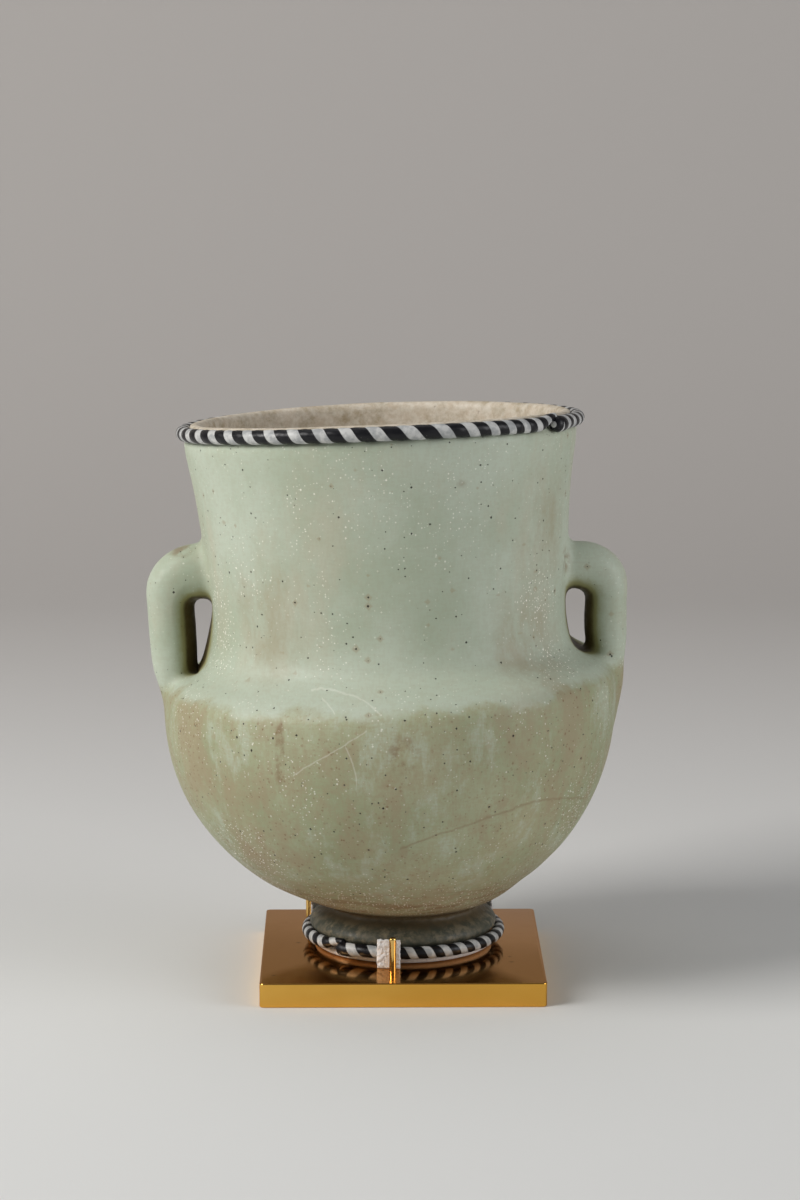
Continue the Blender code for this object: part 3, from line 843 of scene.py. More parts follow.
@dataclass(frozen=True)
class CaneFinish:
    """Black and milky white glass threads twisted together; black lies where "thread" is high."""

    name: str = "twisted_cane_glass"
    black: Colour = (0.005, 0.005, 0.007)
    white: Colour = (0.560, 0.560, 0.545)
    grey: Colour = (0.360, 0.370, 0.370)
    dust: Colour = (0.400, 0.370, 0.300)
    roughness: float = 0.30
    edge: float = 0.43

    def build(self, speckles: Tree) -> Material:
        """Builds the material, which reads the attribute "thread", 1 in the middle of the black thread."""
        material, bench, shader, place = new_material(self.name)
        thread = bench.attribute("thread").outputs["Fac"]
        thread = bench.spread(thread, self.edge - 0.035, self.edge + 0.035, 1.0, 0.0)
        milky = bench.blend(bench.spread(bench.cloud(place, 700.0, 4.0), 0.38, 0.62), self.white, self.grey)
        colour = bench.blend(thread, self.black, milky)
        specks = bench.group(speckles, {"Vector": place, "Scale": 2600.0, "Size": 0.40, "Density": 0.16})[0]
        colour = bench.blend(bench.times(specks, 0.22), colour, self.dust)
        bench.feed(shader.inputs["Base Color"], colour)
        grain = bench.cloud(place, 1500.0, 3.0)
        rough = bench.spread(grain, 0.3, 0.7, self.roughness, self.roughness + 0.16)
        bench.feed(shader.inputs["Roughness"], rough)
        bench.raise_bump(shader, bench.plus(grain, specks), 0.00004, 0.6)
        shader.inputs["Specular IOR Level"].default_value = 0.32
        return material


@dataclass(frozen=True)
class BrassFinish:
    """Polished brass with a few dark marks and fine scratches; on the plate the top face is darker, partly a
    dust film and partly a painted dark reflection.
    """

    name: str = "polished_brass"
    gold: Colour = (0.860, 0.490, 0.100)
    deep: Colour = (0.760, 0.400, 0.065)
    # Plate's top face: partly a dust film, partly a painted dark reflection of the room above; for the pins,
    # which stand above it, their own colour.
    top: Colour = (0.600, 0.330, 0.120)
    edge_tint: Colour = (0.850, 0.716, 0.616)
    mark: Colour = (0.060, 0.028, 0.008)
    roughness: float = 0.10
    marks: float = 0.12
    top_height: float = 0.0043

    def build(self, speckles: Tree) -> Material:
        """Builds the material."""
        material, bench, shader, place = new_material(self.name)
        tone = bench.cloud(bench.stretch(place, (0.4, 0.4, 1.0)), 60.0, 4.0)
        colour = bench.blend(bench.spread(tone, 0.35, 0.70), self.gold, self.deep)
        # Above the plate's top face the colour turns to top: on the plate, a painted darker reflection over a
        # dust film.
        above = bench.maths("GREATER_THAN", bench.parts(place)[2], self.top_height)
        colour = bench.blend(above, colour, self.top)
        specks = bench.group(speckles, {"Vector": bench.stretch(place, (0.5, 1.0, 1.0)), "Scale": 520.0,
                                        "Size": 0.20, "Density": self.marks})[0]
        colour = bench.blend(bench.times(specks, 0.85), colour, self.mark)
        bench.feed(shader.inputs["Base Color"], colour)
        shader.inputs["Metallic"].default_value = 1.0
        shader.inputs["Specular Tint"].default_value = (*self.edge_tint, 1.0)
        haze = bench.cloud(place, 300.0, 5.0, 0.65)
        rough = bench.spread(haze, 0.35, 0.75, self.roughness, self.roughness + 0.08)
        bench.feed(shader.inputs["Roughness"], rough)
        scratch = bench.cloud(bench.stretch(place, (1.0, 18.0, 18.0)), 240.0, 4.0, 0.7)
        bench.raise_bump(shader, bench.minus(scratch, specks), 0.000006, 0.5)
        return material


@dataclass(frozen=True)
class FeltFinish:
    """White felt, matt and a little fluffy."""

    name: str = "white_felt"
    light: Colour = (0.930, 0.915, 0.905)
    shade: Colour = (0.740, 0.715, 0.710)

    def build(self) -> Material:
        """Builds the material."""
        material, bench, shader, place = new_material(self.name)
        fibres = bench.cloud(bench.stretch(place, (1.0, 1.0, 0.5)), 2600.0, 4.0, 0.7, 1.2)
        tufts = bench.cloud(place, 900.0, 3.0)
        colour = bench.blend(bench.spread(fibres, 0.3, 0.7), self.shade, self.light)
        colour = bench.blend(bench.spread(tufts, 0.35, 0.65, 0.0, 0.35), colour, self.shade)
        bench.feed(shader.inputs["Base Color"], colour)
        shader.inputs["Roughness"].default_value = 0.95
        shader.inputs["Sheen Weight"].default_value = 0.35
        bench.raise_bump(shader, bench.plus(fibres, tufts), 0.00012, 0.8)
        return material


@dataclass(frozen=True)
class StageFinish:
    """Plain pale floor that turns up into a grey backdrop."""

    floor: Colour = (0.730, 0.730, 0.720)
    wall: Colour = (0.475, 0.450, 0.430)
    high: Colour = (0.370, 0.345, 0.325)
    sight_top: float = 0.165
    dark_from: float = 0.190

    def build(self) -> Material:
        """Builds the material."""
        material, bench, shader, place = new_material("studio_paper")
        _, y, z = bench.parts(place)
        colour = bench.blend(bench.spread(y, -0.08, 0.50), self.floor, self.wall)
        colour = bench.blend(bench.spread(z, self.sight_top, self.dark_from), colour, self.high)
        bench.feed(shader.inputs["Base Color"], colour)
        shader.inputs["Roughness"].default_value = 0.9
        shader.inputs["Specular IOR Level"].default_value = 0.15
        return material


@dataclass(frozen=True)
class HandleSizes:
    """Sizes of one handle; half thicknesses run from the neck down to the bowl."""

    side: Side
    bar_rise: float
    finger_gap: float
    root_half: float
    bar_half: float
    corner_half: float
    limb_half: float
    depth_half: float
    landing_proud: float
    landing_drop: float
    hole_flare: float


@dataclass
class Jar:
    """The jar with its two handles, as one skin of glass."""

    sizes: JarSizes
    stance: Stance
    left: HandleSizes = HandleSizes(Side.LEFT, bar_rise=0.0249, finger_gap=0.0030, root_half=0.0049,
                                    bar_half=0.0049, corner_half=0.0052, limb_half=0.00437,
                                    depth_half=0.0052, landing_proud=0.0001, landing_drop=0.0030,
                                    hole_flare=0.0016)
    right: HandleSizes = HandleSizes(Side.RIGHT, bar_rise=0.0224, finger_gap=0.0034, root_half=0.0052,
                                     bar_half=0.00425, corner_half=0.0047, limb_half=0.0039,
                                     depth_half=0.0050, landing_proud=0.0012, landing_drop=0.0070,
                                     hole_flare=0.0011)
    bend: float = 0.0056
    sides: int = 160
    handle_sides: int = 32
    grain: float = 0.00064
    fillet_reach: float = 0.0018
    section_power: float = 0.85
    neck_dent: float = 0.0004
    neck_swell: float = 0.00165
    left_sink: float = 0.0020
    right_sink: float = 0.0014
    swell_depth: float = 0.0042
    sink_rise: float = 0.0088
    sink_reach: Place = (0.0030, 0.0060, 0.0034)
    fillet_rounds: int = 26
    even_rounds: int = 3
    waver: float = 0.00012
    waver_scale: float = 75.0
    knocks: tuple = (((-0.0390, -0.0030, 0.0385), 0.0016, 0.00045),
                     ((0.0435, -0.0010, 0.0650), 0.0013, 0.00045),
                     ((0.0285, -0.0090, 0.0215), 0.0030, 0.00030))
    neck_steps: tuple = (3, 4, 4, 4, 3, 3, 4, 4, 4)
    inside_edge: float = 0.0008
    # Where the hollows behind the handles get soot and painted shade.
    soot_and_shade_reach: float = 0.0061
    soot_and_shade_fade: float = 0.0037
    soot_and_shade_shift_left: float = 0.0006
    soot_and_shade_shift_right: float = -0.0002

    def neck_places(self) -> list[Vector]:
        """Key points of the outside from the bowl's widest line to below the rim."""
        s = self.sizes
        shoulder = ((0.0, 0.0), (0.04, 0.30), (0.24, 0.51), (0.52, 0.66), (0.72, 0.785), (0.91, 1.0))
        neck = ((0.0, 0.0), (0.28, 0.40), (0.54, 0.66), (0.90, 0.885))
        places = []
        for inward, upward in shoulder:
            places.append(Vector((mix(s.bowl_radius, s.neck_radius, inward),
                                  s.equator + s.shoulder_rise * upward)))
        for outward, upward in neck:
            places.append(Vector((mix(s.neck_radius, s.rim_cane_ring, outward),
                                  mix(s.neck_narrowest, s.rim_cane_height, upward))))
        return places

    def set_in(self, places: Sequence[Vector]) -> list[Vector]:
        """The key points moved inwards by the wall, square to the outline."""
        moved = []
        for index, place in enumerate(places):
            ahead = places[min(index + 1, len(places) - 1)]
            behind = places[max(index - 1, 0)]
            along = (ahead - behind).normalized() if index else Vector((0.0, 1.0))
            wall = mix(self.sizes.bowl_wall, self.sizes.neck_wall, index / (len(places) - 1))
            moved.append(place + wall * Vector((-along.y, along.x)))
        return moved

    def bowl_arc(self, radius: float, drop: float, low_radius: float, steps: int) -> list[Vector]:
        """The bowl's outline from low_radius up to the widest line, without its top point."""
        fullness = self.sizes.bowl_fullness
        start = math.asin((low_radius / radius) ** (fullness / 2))
        angles = [mix(start, math.pi / 2, step / steps) for step in range(steps)]
        equator = self.sizes.equator
        return [Vector((radius * math.sin(angle) ** (2 / fullness), equator - drop * math.cos(angle)))
                for angle in angles]

    def foot_outline(self) -> list[Vector]:
        """The foot from under its middle to its waist, with the seat for its cane."""
        s = self.sizes
        seat = s.foot_cane_thickness / 2 + s.fit_gap
        side = s.foot_cane_ring - seat
        edge = 0.3 * s.foot_cane_lift
        outline = [Vector((0.0008, s.foot_underside)), Vector((0.4 * side, s.foot_underside)),
                   Vector((0.8 * side, s.foot_underside)), Vector((side - edge, s.foot_underside)),
                   Vector((side, s.foot_underside + edge))]
        outline += arc((s.foot_cane_ring, s.foot_cane_height), seat, 180.0, 100.0, 7)
        rim = outline.pop()
        dome = ((0.0, 0.0), (-0.02, 0.10), (0.06, 0.28), (0.26, 0.53), (0.59, 0.76), (1.0, 1.0))
        places = [Vector((mix(rim.x, s.foot_waist_radius, inward), mix(rim.y, s.foot_top, upward)))
                  for inward, upward in dome]
        return outline + curve_through(places, (2, 3, 3, 3, 3))

    def outline(self) -> list[Vector]:
        """The whole outline from under the foot, over the lip, to the inner floor."""
        s = self.sizes
        outside = self.neck_places()
        outline = self.foot_outline()
        outline += self.bowl_arc(s.bowl_radius, s.bowl_drop, s.foot_waist_radius * 1.02, 30)
        outline += curve_through(outside, self.neck_steps)
        seat = s.rim_cane_thickness / 2 + s.fit_gap
        outline += arc((s.rim_cane_ring, s.rim_cane_height), seat, 266.0, 125.0, 9)
        lip_middle = (s.rim_cane_ring - seat - s.lip_thickness + s.lip_round,
                      s.rim_cane_height + s.lip_rise - s.lip_round)
        outline += arc(lip_middle, s.lip_round, 40.0, 180.0, 9)
        outline += reversed(curve_through(self.set_in(outside), self.neck_steps))
        inner = self.bowl_arc(s.bowl_radius - s.bowl_wall, s.bowl_drop - s.bowl_floor, 0.0008, 24)
        return outline + list(reversed(inner))

    def handle_path(self, h: HandleSizes) -> list[Vector]:
        """Middle points of a handle with its half thickness at each, in the handles' plane."""
        s = self.sizes
        bar = s.equator + h.bar_rise
        limb_reach = s.neck_radius + h.finger_gap + h.limb_half
        bend_x = limb_reach - self.bend
        bend_z = bar - self.bend
        root = s.neck_radius - s.neck_wall / 2
        places = [Vector((root, bar, h.root_half)), Vector((mix(root, bend_x, 0.6), bar, h.bar_half))]
        for share in (0.0, 0.25, 0.5, 0.75, 1.0):
            turn = math.pi / 2 * (1.0 - share)
            half = mix(mix(h.bar_half, h.limb_half, share), h.corner_half, math.sin(math.pi * share))
            places.append(Vector((bend_x + self.bend * math.cos(turn),
                                  bend_z + self.bend * math.sin(turn), half)))
        high = limb_reach + h.limb_half
        low = s.bowl_radius + h.landing_proud
        end = s.bowl_radius * (1.0 - (h.landing_drop / s.bowl_drop) ** 2) ** (1 / s.bowl_fullness)
        end += 0.2 * h.landing_proud
        shoulder = s.equator + 0.85 * s.shoulder_rise
        lower = ((high - 0.05 * h.limb_half, mix(bend_z, shoulder, 0.55), h.limb_half),
                 (mix(high, low, 0.25), shoulder, 0.96 * h.limb_half),
                 (mix(high, low, 0.62), s.equator + 0.45 * s.shoulder_rise, 0.78 * h.limb_half),
                 (low, s.equator, 0.48 * s.bowl_wall),
                 (end, s.equator - h.landing_drop, 0.36 * s.bowl_wall))
        places += [Vector((outer - half, height, half)) for outer, height, half in lower]
        return curve_through(places, (3, 3, 3, 3, 3, 3, 4, 4, 4, 4, 3))

    def handle_rings(self, h: HandleSizes) -> Rings:
        """Oval rings along a handle's path."""
        path = self.handle_path(h)
        rings = []
        for index, place in enumerate(path):
            ahead = path[min(index + 1, len(path) - 1)]
            behind = path[max(index - 1, 0)]
            along = Vector((ahead.x - behind.x, ahead.y - behind.y)).normalized()
            across = Vector((-along.y, along.x))
            depth = h.depth_half * mix(0.45, 1.0, min(1.0, place.z / h.limb_half))
            limb = smooth_step(0.4, 0.9, -along.y) * smooth_step(0.5, 0.9, place.z / h.limb_half)
            ring = []
            for turn in angles_round(self.handle_sides):
                out = place.z * math.copysign(abs(math.cos(turn)) ** self.section_power, math.cos(turn))
                back = depth * math.copysign(abs(math.sin(turn)) ** self.section_power, math.sin(turn))
                if out < 0.0:
                    flare = h.hole_flare * limb * smooth_step(0.5 * depth, -0.7 * depth, back)
                    out *= 1.0 - flare / place.z
                x = h.side.value * (place.x + across.x * out)
                ring.append(Vector((x, back, place.y + across.y * out)))
            rings.append(ring)
        return rings

    def build(self, material: Material) -> Item:
        """Turns the wall, adds the handles, joins all to one skin and settles it.

        Args:
            material: The jar's glass.

        Returns:
            The finished piece.
        """
        outline = self.outline()
        rings = [[Vector((place.x * math.cos(turn), place.x * math.sin(turn), place.y))
                  for turn in angles_round(self.sides)] for place in outline]
        wall = model_rings("glass_jar", rings)
        bars = [model_rings("bar", self.handle_rings(h)) for h in (self.left, self.right)]
        pick(wall)
        for bar in bars:
            bar.select_set(True)
        bpy.ops.object.join()
        apply_modifier(wall, "REMESH", mode="VOXEL", voxel_size=self.grain)
        self.narrow_left_hole(wall)
        self.deepen_holes(wall)
        self.soften(wall, outline)
        self.roughen(wall)
        self.mark(wall, outline)
        self.stance.settle(wall, keep_upright=True)
        shade_smooth(wall, math.radians(80.0))
        dress(wall, material, ("jar", "handle_left", "handle_right"))
        return wall

    def narrow_left_hole(self, item: Item) -> None:
        """Swells the neck behind the left handle, so that the hole there narrows to a point below."""
        s = self.sizes
        places = vertex_places(item)
        out = -places[:, 0]
        limb = s.neck_radius + self.left.finger_gap
        near = smooth_step(s.neck_radius - 0.0022, s.neck_radius - 0.0005, out)
        near *= smooth_step(limb - 0.0002, limb - 0.0016, out)
        rise = places[:, 2] - s.equator
        push = mix(-self.neck_dent, self.neck_swell, np.clip((0.0189 - rise) / 0.0103, 0.0, 1.0))
        inside_hole = smooth_step(0.0040, 0.0070, rise) * smooth_step(0.0225, 0.0195, rise)
        deep = np.exp(-(places[:, 1] / self.swell_depth) ** 2)
        places[:, 0] -= push * near * inside_hole * deep
        set_vertex_places(item, places)

    def deepen_holes(self, item: Item) -> None:
        """Sinks the shoulder at the bottom of both handles' holes."""
        s = self.sizes
        places = vertex_places(item)
        reach_out, reach_deep, reach_up = self.sink_reach
        for h, depth in ((self.left, self.left_sink), (self.right, self.right_sink)):
            out = (places[:, 0] * h.side.value - s.neck_radius - 0.55 * h.finger_gap) / reach_out
            up = (places[:, 2] - s.equator - self.sink_rise) / reach_up
            deep = places[:, 1] / reach_deep
            places[:, 2] -= depth * np.exp(-out ** 2 - up ** 2 - deep ** 2)
        set_vertex_places(item, places)

    def roughen(self, item: Item) -> None:
        """Gives the skin a faint waver and the small knocks that its outline shows."""
        places = vertex_places(item)
        normals = np.empty(3 * len(places), dtype=np.float32)
        item.data.vertices.foreach_get("normal", normals)
        normals = normals.reshape(-1, 3)
        push = np.array([self.waver * noise.noise(Vector(place) * self.waver_scale) for place in places])
        for middle, reach, depth in self.knocks:
            away = np.linalg.norm(places - np.array(middle), axis=1)
            push -= depth * np.clip(1.0 - away / reach, 0.0, 1.0) ** 1.5
        set_vertex_places(item, places + normals * push[:, None])

    def soften(self, item: Item, outline: Sequence[Vector]) -> None:
        """Evens the skin and rounds the corners between the handles and the wall."""
        places = vertex_places(item)
        to_wall = self.wall_distance(places, outline)
        to_bar = np.minimum(self.bar_distance(places, self.left), self.bar_distance(places, self.right))
        near = np.maximum(to_wall, to_bar)
        weight = np.clip(1.0 - near / self.fillet_reach, 0.0, 1.0)
        group = item.vertex_groups.new(name="fillet")
        for index in np.nonzero(weight > 0.01)[0]:
            group.add([int(index)], float(weight[index]), "REPLACE")
        apply_modifier(item, "SMOOTH", factor=0.5, iterations=self.fillet_rounds, vertex_group="fillet")
        apply_modifier(item, "SMOOTH", factor=0.5, iterations=self.even_rounds)
        item.vertex_groups.clear()

    def wall_distance(self, places: np.ndarray, outline: Sequence[Vector]) -> np.ndarray:
        """Distance of each place from the turned wall's skin."""
        flat = np.stack([np.hypot(places[:, 0], places[:, 1]), places[:, 2]], -1)
        best = np.full(len(flat), 1.0)
        for start, finish in zip(outline[:-1], outline[1:]):
            a = np.array(start[:])
            d = np.array(finish[:]) - a
            t = np.clip(((flat - a) @ d) / max(float(d @ d), 1e-14), 0.0, 1.0)
            best = np.minimum(best, np.hypot(*(flat - a - t[:, None] * d).T))
        return best

    def bar_distance(self, places: np.ndarray, h: HandleSizes) -> np.ndarray:
        """Rough distance of each place from a handle's skin."""
        best = np.full(len(places), 1.0)
        for point in self.handle_path(h):
            dx = places[:, 0] * h.side.value - point.x
            dz = places[:, 2] - point.y
            depth = h.depth_half * mix(0.45, 1.0, min(1.0, point.z / h.limb_half))
            dy = places[:, 1] * point.z / depth
            best = np.minimum(best, np.abs(np.sqrt(dx * dx + dy * dy + dz * dz) - point.z))
        return best

    def mark(self, item: Item, outline: Sequence[Vector]) -> None:
        """Stores where the inside lies and where the hollows behind the handles get soot and painted shade.
        """
        s = self.sizes
        places = vertex_places(item)
        radius = np.hypot(places[:, 0], places[:, 1])
        crest = max(range(len(outline)), key=lambda index: outline[index].y)
        inner = outline[crest:]
        heights = np.array([p.y for p in inner])[::-1]
        reach = np.array([p.x for p in inner])[::-1]
        limit = np.interp(places[:, 2], heights, reach)
        inside = np.clip(1.0 - (radius - limit) / self.inside_edge, 0.0, 1.0)
        point_attribute(item, "inside", inside)
        soot_and_shade = np.zeros(len(places))
        for h, shift in ((self.left, self.soot_and_shade_shift_left), (self.right, self.soot_and_shade_shift_right)):
            middle_x = s.neck_radius + h.finger_gap / 2 + shift
            high = s.equator + h.bar_rise - h.bar_half
            low = s.equator + s.shoulder_rise * 0.78
            along = np.clip(places[:, 2], low, high - 0.001)
            across = (places[:, 0] * h.side.value - middle_x) / 1.25
            gap = np.sqrt(across ** 2 + (places[:, 2] - along) ** 2 + (np.abs(places[:, 1]) * 0.72) ** 2)
            # The painted shade is deepest inside the hole and fades towards its front.
            deep = 1.0 - 0.62 * smooth_step(0.0026, 0.0054, -places[:, 1])
            soot_and_shade = np.maximum(soot_and_shade, deep * np.clip((self.soot_and_shade_reach - gap) / self.soot_and_shade_fade, 0.0, 1.0))
        point_attribute(item, "soot_and_shade", soot_and_shade * (1.0 - inside))


@dataclass(frozen=True)
class Twist:
    """How far apart a cane's black stripes are, by bearing in degrees from the front."""

    even: float
    start: float
    wide: float = 0.0
    wide_middle: float = 0.0
    wide_reach: float = 11.0
    tight: float = 0.0
    tight_span: tuple[float, float, float, float] = (18.0, 45.0, 62.0, 85.0)

    def pitch(self, bearing: float) -> float:
        """Distance between two black stripes at a bearing."""
        bearing = (bearing + 180.0) % 360.0 - 180.0
        bump = math.exp(-((bearing - self.wide_middle) / self.wide_reach) ** 2)
        first, full, ebb, last = self.tight_span
        squeeze = smooth_step(first, full, bearing) * (1.0 - smooth_step(ebb, last, bearing))
        return self.even + self.wide * bump - self.tight * squeeze

    def turns(self, bearings: np.ndarray, ring: float) -> np.ndarray:
        """Twist at each of a rising row of bearings, with a black stripe facing out at the start bearing."""
        rates = np.array([math.tau * ring / self.pitch(bearing) for bearing in bearings])
        steps = np.radians(np.diff(bearings)) * (rates[1:] + rates[:-1]) / 2
        total = np.concatenate([[0.0], np.cumsum(steps)])
        return total - np.interp(self.start, bearings, total)


@dataclass
class TwistedCane:
    """A ring of a black and a white thread twisted together, whose ends meet in a joint."""

    name: str
    node: str
    stance: Stance
    ring: float
    thickness: float
    height: float
    joint: float
    twist: Twist
    steps: int = 900
    sides: int = 36
    lobe: float = 0.025
    core_rows: int = 2
    cap_shares: tuple = (0.995, 0.95, 0.87, 0.72, 0.5, 0.25)
    bulb: float = 1.12
    tip: float = 0.55
    swell_reach: float = 2.5
    taper_reach: float = 2.2

    def build(self, material: Material) -> Item:
        """Sweeps the cane round the jar, its ridges and stripes turning with the twist.

        Args:
            material: The threads' glass.

        Returns:
            The finished piece.
        """
        half = self.thickness / 2
        bulb = self.bulb * half
        joint = math.degrees(self.joint)
        bearings = np.linspace(joint - 360.0, joint - math.degrees(0.35 * bulb / self.ring), self.steps + 1)
        turns = self.twist.turns(bearings, self.ring)
        rings = []
        threads = []
        for bearing, turn in zip(bearings, turns):
            from_bulb = math.radians(bearing - bearings[0]) * self.ring
            from_tip = math.radians(bearings[-1] - bearing) * self.ring
            swell = 1.0 - smooth_step(0.0, self.swell_reach * self.thickness, from_bulb)
            taper = 1.0 - smooth_step(0.0, self.taper_reach * self.thickness, from_tip)
            size = half * (1.0 + 0.14 * swell - 0.42 * taper)
            centre = Vector((self.ring + half * (0.25 * swell - 0.15 * taper),
                             self.height + half * (0.85 * taper - 0.15 * swell)))
            rings.append(self.section(math.radians(bearing) - math.pi / 2, centre, size, turn))
            threads += [0.5 + 0.5 * math.cos(own + turn) for own in angles_round(self.sides)]
        rings = self.cap(rings, bulb, -1.0) + rings
        rings = rings + self.cap(rings[::-1], self.tip * half, 1.0)[::-1]
        item = model_rings(self.name, rings)
        core = [0.0] * (self.core_rows * self.sides)
        rim = [1.0] * ((len(self.cap_shares) - self.core_rows) * self.sides)
        end = [1.0] * (len(self.cap_shares) * self.sides)
        point_attribute(item, "thread", core + rim + threads + end)
        self.stance.settle(item)
        shade_smooth(item, math.radians(60.0))
        dress(item, material, (self.node,))
        return item

    def section(self, angle: float, centre: Vector, size: float, turn: float) -> list[Vector]:
        """One section of the cane, with a low ridge on each thread as far as the twist has turned it."""
        outward = Vector((math.cos(angle), math.sin(angle), 0.0))
        ring = []
        for own in angles_round(self.sides):
            reach = size * (1.0 + self.lobe * math.cos(2.0 * (own + turn)))
            ring.append(outward * (centre.x + reach * math.cos(own))
                        + Vector((0.0, 0.0, centre.y + reach * math.sin(own))))
        return ring

    def cap(self, rings: Rings, reach: float, direction: float) -> Rings:
        """Shrinking rings that round off an end, outermost first."""
        edge = rings[0]
        centre = sum(edge, Vector()) / len(edge)
        along = Vector((-centre.y, centre.x, 0.0)).normalized() * direction
        ends = []
        for share in self.cap_shares:
            push = along * reach * share
            shrink = math.sqrt(1.0 - share * share)
            ends.append([centre + (point - centre) * shrink + push for point in edge])
        return ends


@dataclass
class BrassMount:
    """The square plate and the three pins that hold the foot."""

    stance: Stance
    side: float = 0.0508
    thickness: float = 0.0044
    corner: float = 0.0009
    edge: float = 0.00022
    pin_thickness: float = 0.00125
    pin_height: float = 0.0061
    pin_ring: float = 0.020175
    pin_sides: int = 32
    pin_sunk: float = 0.0002
    bearings: dict = field(default_factory=lambda: {"front": math.radians(-6.0), "left": math.radians(-120.5),
                                                    "right": math.radians(127.5)})

    def build(self, plate_metal: Material, pin_metal: Material) -> None:
        """Builds the plate and the pins."""
        dress(self.plate(), plate_metal, ("mount_plate",))
        for name, bearing in self.bearings.items():
            dress(self.pin("brass_pin_" + name, bearing), pin_metal, ("pin_" + name,))

    def plate(self) -> Item:
        """The plate, with rounded corners and softened edges."""
        deselect_all()
        bpy.ops.mesh.primitive_cube_add(size=1.0, location=(0.0, 0.0, self.thickness / 2))
        item = bpy.context.object
        item.name = "brass_plate"
        item.scale = (self.side, self.side, self.thickness)
        bpy.ops.object.transform_apply(location=True, rotation=True, scale=True)
        bpy.ops.object.mode_set(mode="EDIT")
        bpy.ops.mesh.select_mode(type="EDGE")
        edit = bmesh.from_edit_mesh(item.data)
        for edge in edit.edges:
            edge.select = abs(edge.verts[0].co.z - edge.verts[1].co.z) > self.thickness / 2
        edit.select_flush_mode()
        bmesh.update_edit_mesh(item.data)
        bpy.ops.mesh.bevel(offset=self.corner, segments=8, affect="EDGES")
        bpy.ops.object.mode_set(mode="OBJECT")
        apply_modifier(item, "BEVEL", width=self.edge, segments=5, limit_method="ANGLE",
                       angle_limit=math.radians(40.0))
        shade_smooth(item, math.radians(30.0))
        return item

    def pin(self, name: str, bearing: float) -> Item:
        """A pin with a slightly domed, softened top."""
        half = self.pin_thickness / 2
        low = self.thickness - self.pin_sunk
        top = self.thickness + self.pin_height
        x = self.stance.foot_x + self.pin_ring * math.sin(bearing)
        y = self.stance.foot_y - self.pin_ring * math.cos(bearing)
        profile = ((1.0, low), (1.0, low + 0.001), (0.985, mix(low, top, 0.35)),
                   (0.96, mix(low, top, 0.6)), (0.99, mix(low, top, 0.8)), (1.03, top - 0.0005),
                   (1.0, top - 0.00025), (0.9, top - 0.0001), (0.6, top), (0.2, top))
        rings = [[Vector((x + share * half * math.cos(turn), y + share * half * math.sin(turn), height))
                  for turn in angles_round(self.pin_sides)] for share, height in profile]
        item = model_rings(name, rings)
        shade_smooth(item, math.radians(50.0))
        return item


@dataclass
class FeltPads:
    """The white disc under the foot and the strips behind the pins."""

    stance: Stance
    sizes: JarSizes
    mount: BrassMount
    disc_radius: float = 0.0162
    disc_sides: int = 96
    disc_waver: float = 0.006
    strip_width: float = 0.0041
    strip_height: float = 0.0053
    strip_thickness: float = 0.0006
    strip_turn: float = math.radians(-2.6)
    strip_columns: int = 30
    strip_rows: int = 34
    fluff: float = 0.00017
    lift: float = 0.00002

    def build(self, felt: Material) -> None:
        """Builds the disc and the three strips."""
        disc = self.disc()
        dress(disc, felt, ("foot_pad",))
        for name, bearing in self.mount.bearings.items():
            strip = self.strip("felt_strip_" + name, bearing)
            dress(strip, felt, ("pad_" + name,))

    def disc(self) -> Item:
        """The thin disc, with a soft uneven edge."""
        low = self.mount.thickness + self.lift
        high = self.sizes.foot_underside - 0.00005
        middle = (low + high) / 2
        half = (high - low) / 2
        profile = ((0.05, low), (0.6, low), (0.93, low), (0.985, low + 0.3 * half), (1.0, middle),
                   (0.985, high - 0.3 * half), (0.93, high), (0.6, high), (0.05, high))
        rings = []
        for share, height in profile:
            ring = []
            for turn in angles_round(self.disc_sides):
                spot = Vector((6.0 * math.cos(turn), 6.0 * math.sin(turn), height * 900.0))
                rough = 1.0 + self.disc_waver * noise.noise(spot)
                reach = self.disc_radius * share * rough
                ring.append(Vector((self.stance.foot_x + reach * math.cos(turn),
                                    self.stance.foot_y + reach * math.sin(turn), height)))
            rings.append(ring)
        item = model_rings("felt_disc", rings)
        shade_smooth(item, math.radians(70.0))
        return item

    def strip(self, name: str, bearing: float) -> Item:
        """A strip that stands between a pin and the foot's cane, with a rough edge."""
        s = self.sizes
        inner = s.foot_cane_ring + s.foot_cane_thickness / 2 + 0.0001
        low = self.mount.thickness + self.lift
        high = self.mount.thickness + self.strip_height
        half_turn = self.strip_width / 2 / inner
        rings = []
        for column in range(self.strip_columns + 1):
            share = column / self.strip_columns
            turn = bearing + self.strip_turn + mix(-half_turn, half_turn, share)
            thin = math.sqrt(max(1.0 - (2.0 * share - 1.0) ** 6, 0.04))
            front = []
            back = []
            for row in range(self.strip_rows + 1):
                height = mix(low, high, row / self.strip_rows)
                ends = math.sqrt(max(1.0 - (2.0 * row / self.strip_rows - 1.0) ** 8, 0.05))
                thick = self.strip_thickness * thin * ends
                middle = inner + self.strip_thickness / 2
                front.append(self.on_ring(middle + thick / 2, turn, height))
                back.append(self.on_ring(middle - thick / 2, turn, height))
            rings.append(front + back[::-1])
        item = model_rings(name, rings)
        for vertex in item.data.vertices:
            push = noise.noise_vector(vertex.co * 2300.0) + 0.7 * noise.noise_vector(vertex.co * 5200.0)
            vertex.co += push * self.fluff * (1.0 if vertex.co.z > low + 0.0003 else 0.1)
        shade_smooth(item, math.radians(80.0))
        return item

    def on_ring(self, reach: float, bearing: float, height: float) -> Vector:
        """A place at a radius and bearing about the foot's middle."""
        return Vector((self.stance.foot_x + reach * math.sin(bearing),
                       self.stance.foot_y - reach * math.cos(bearing), height))


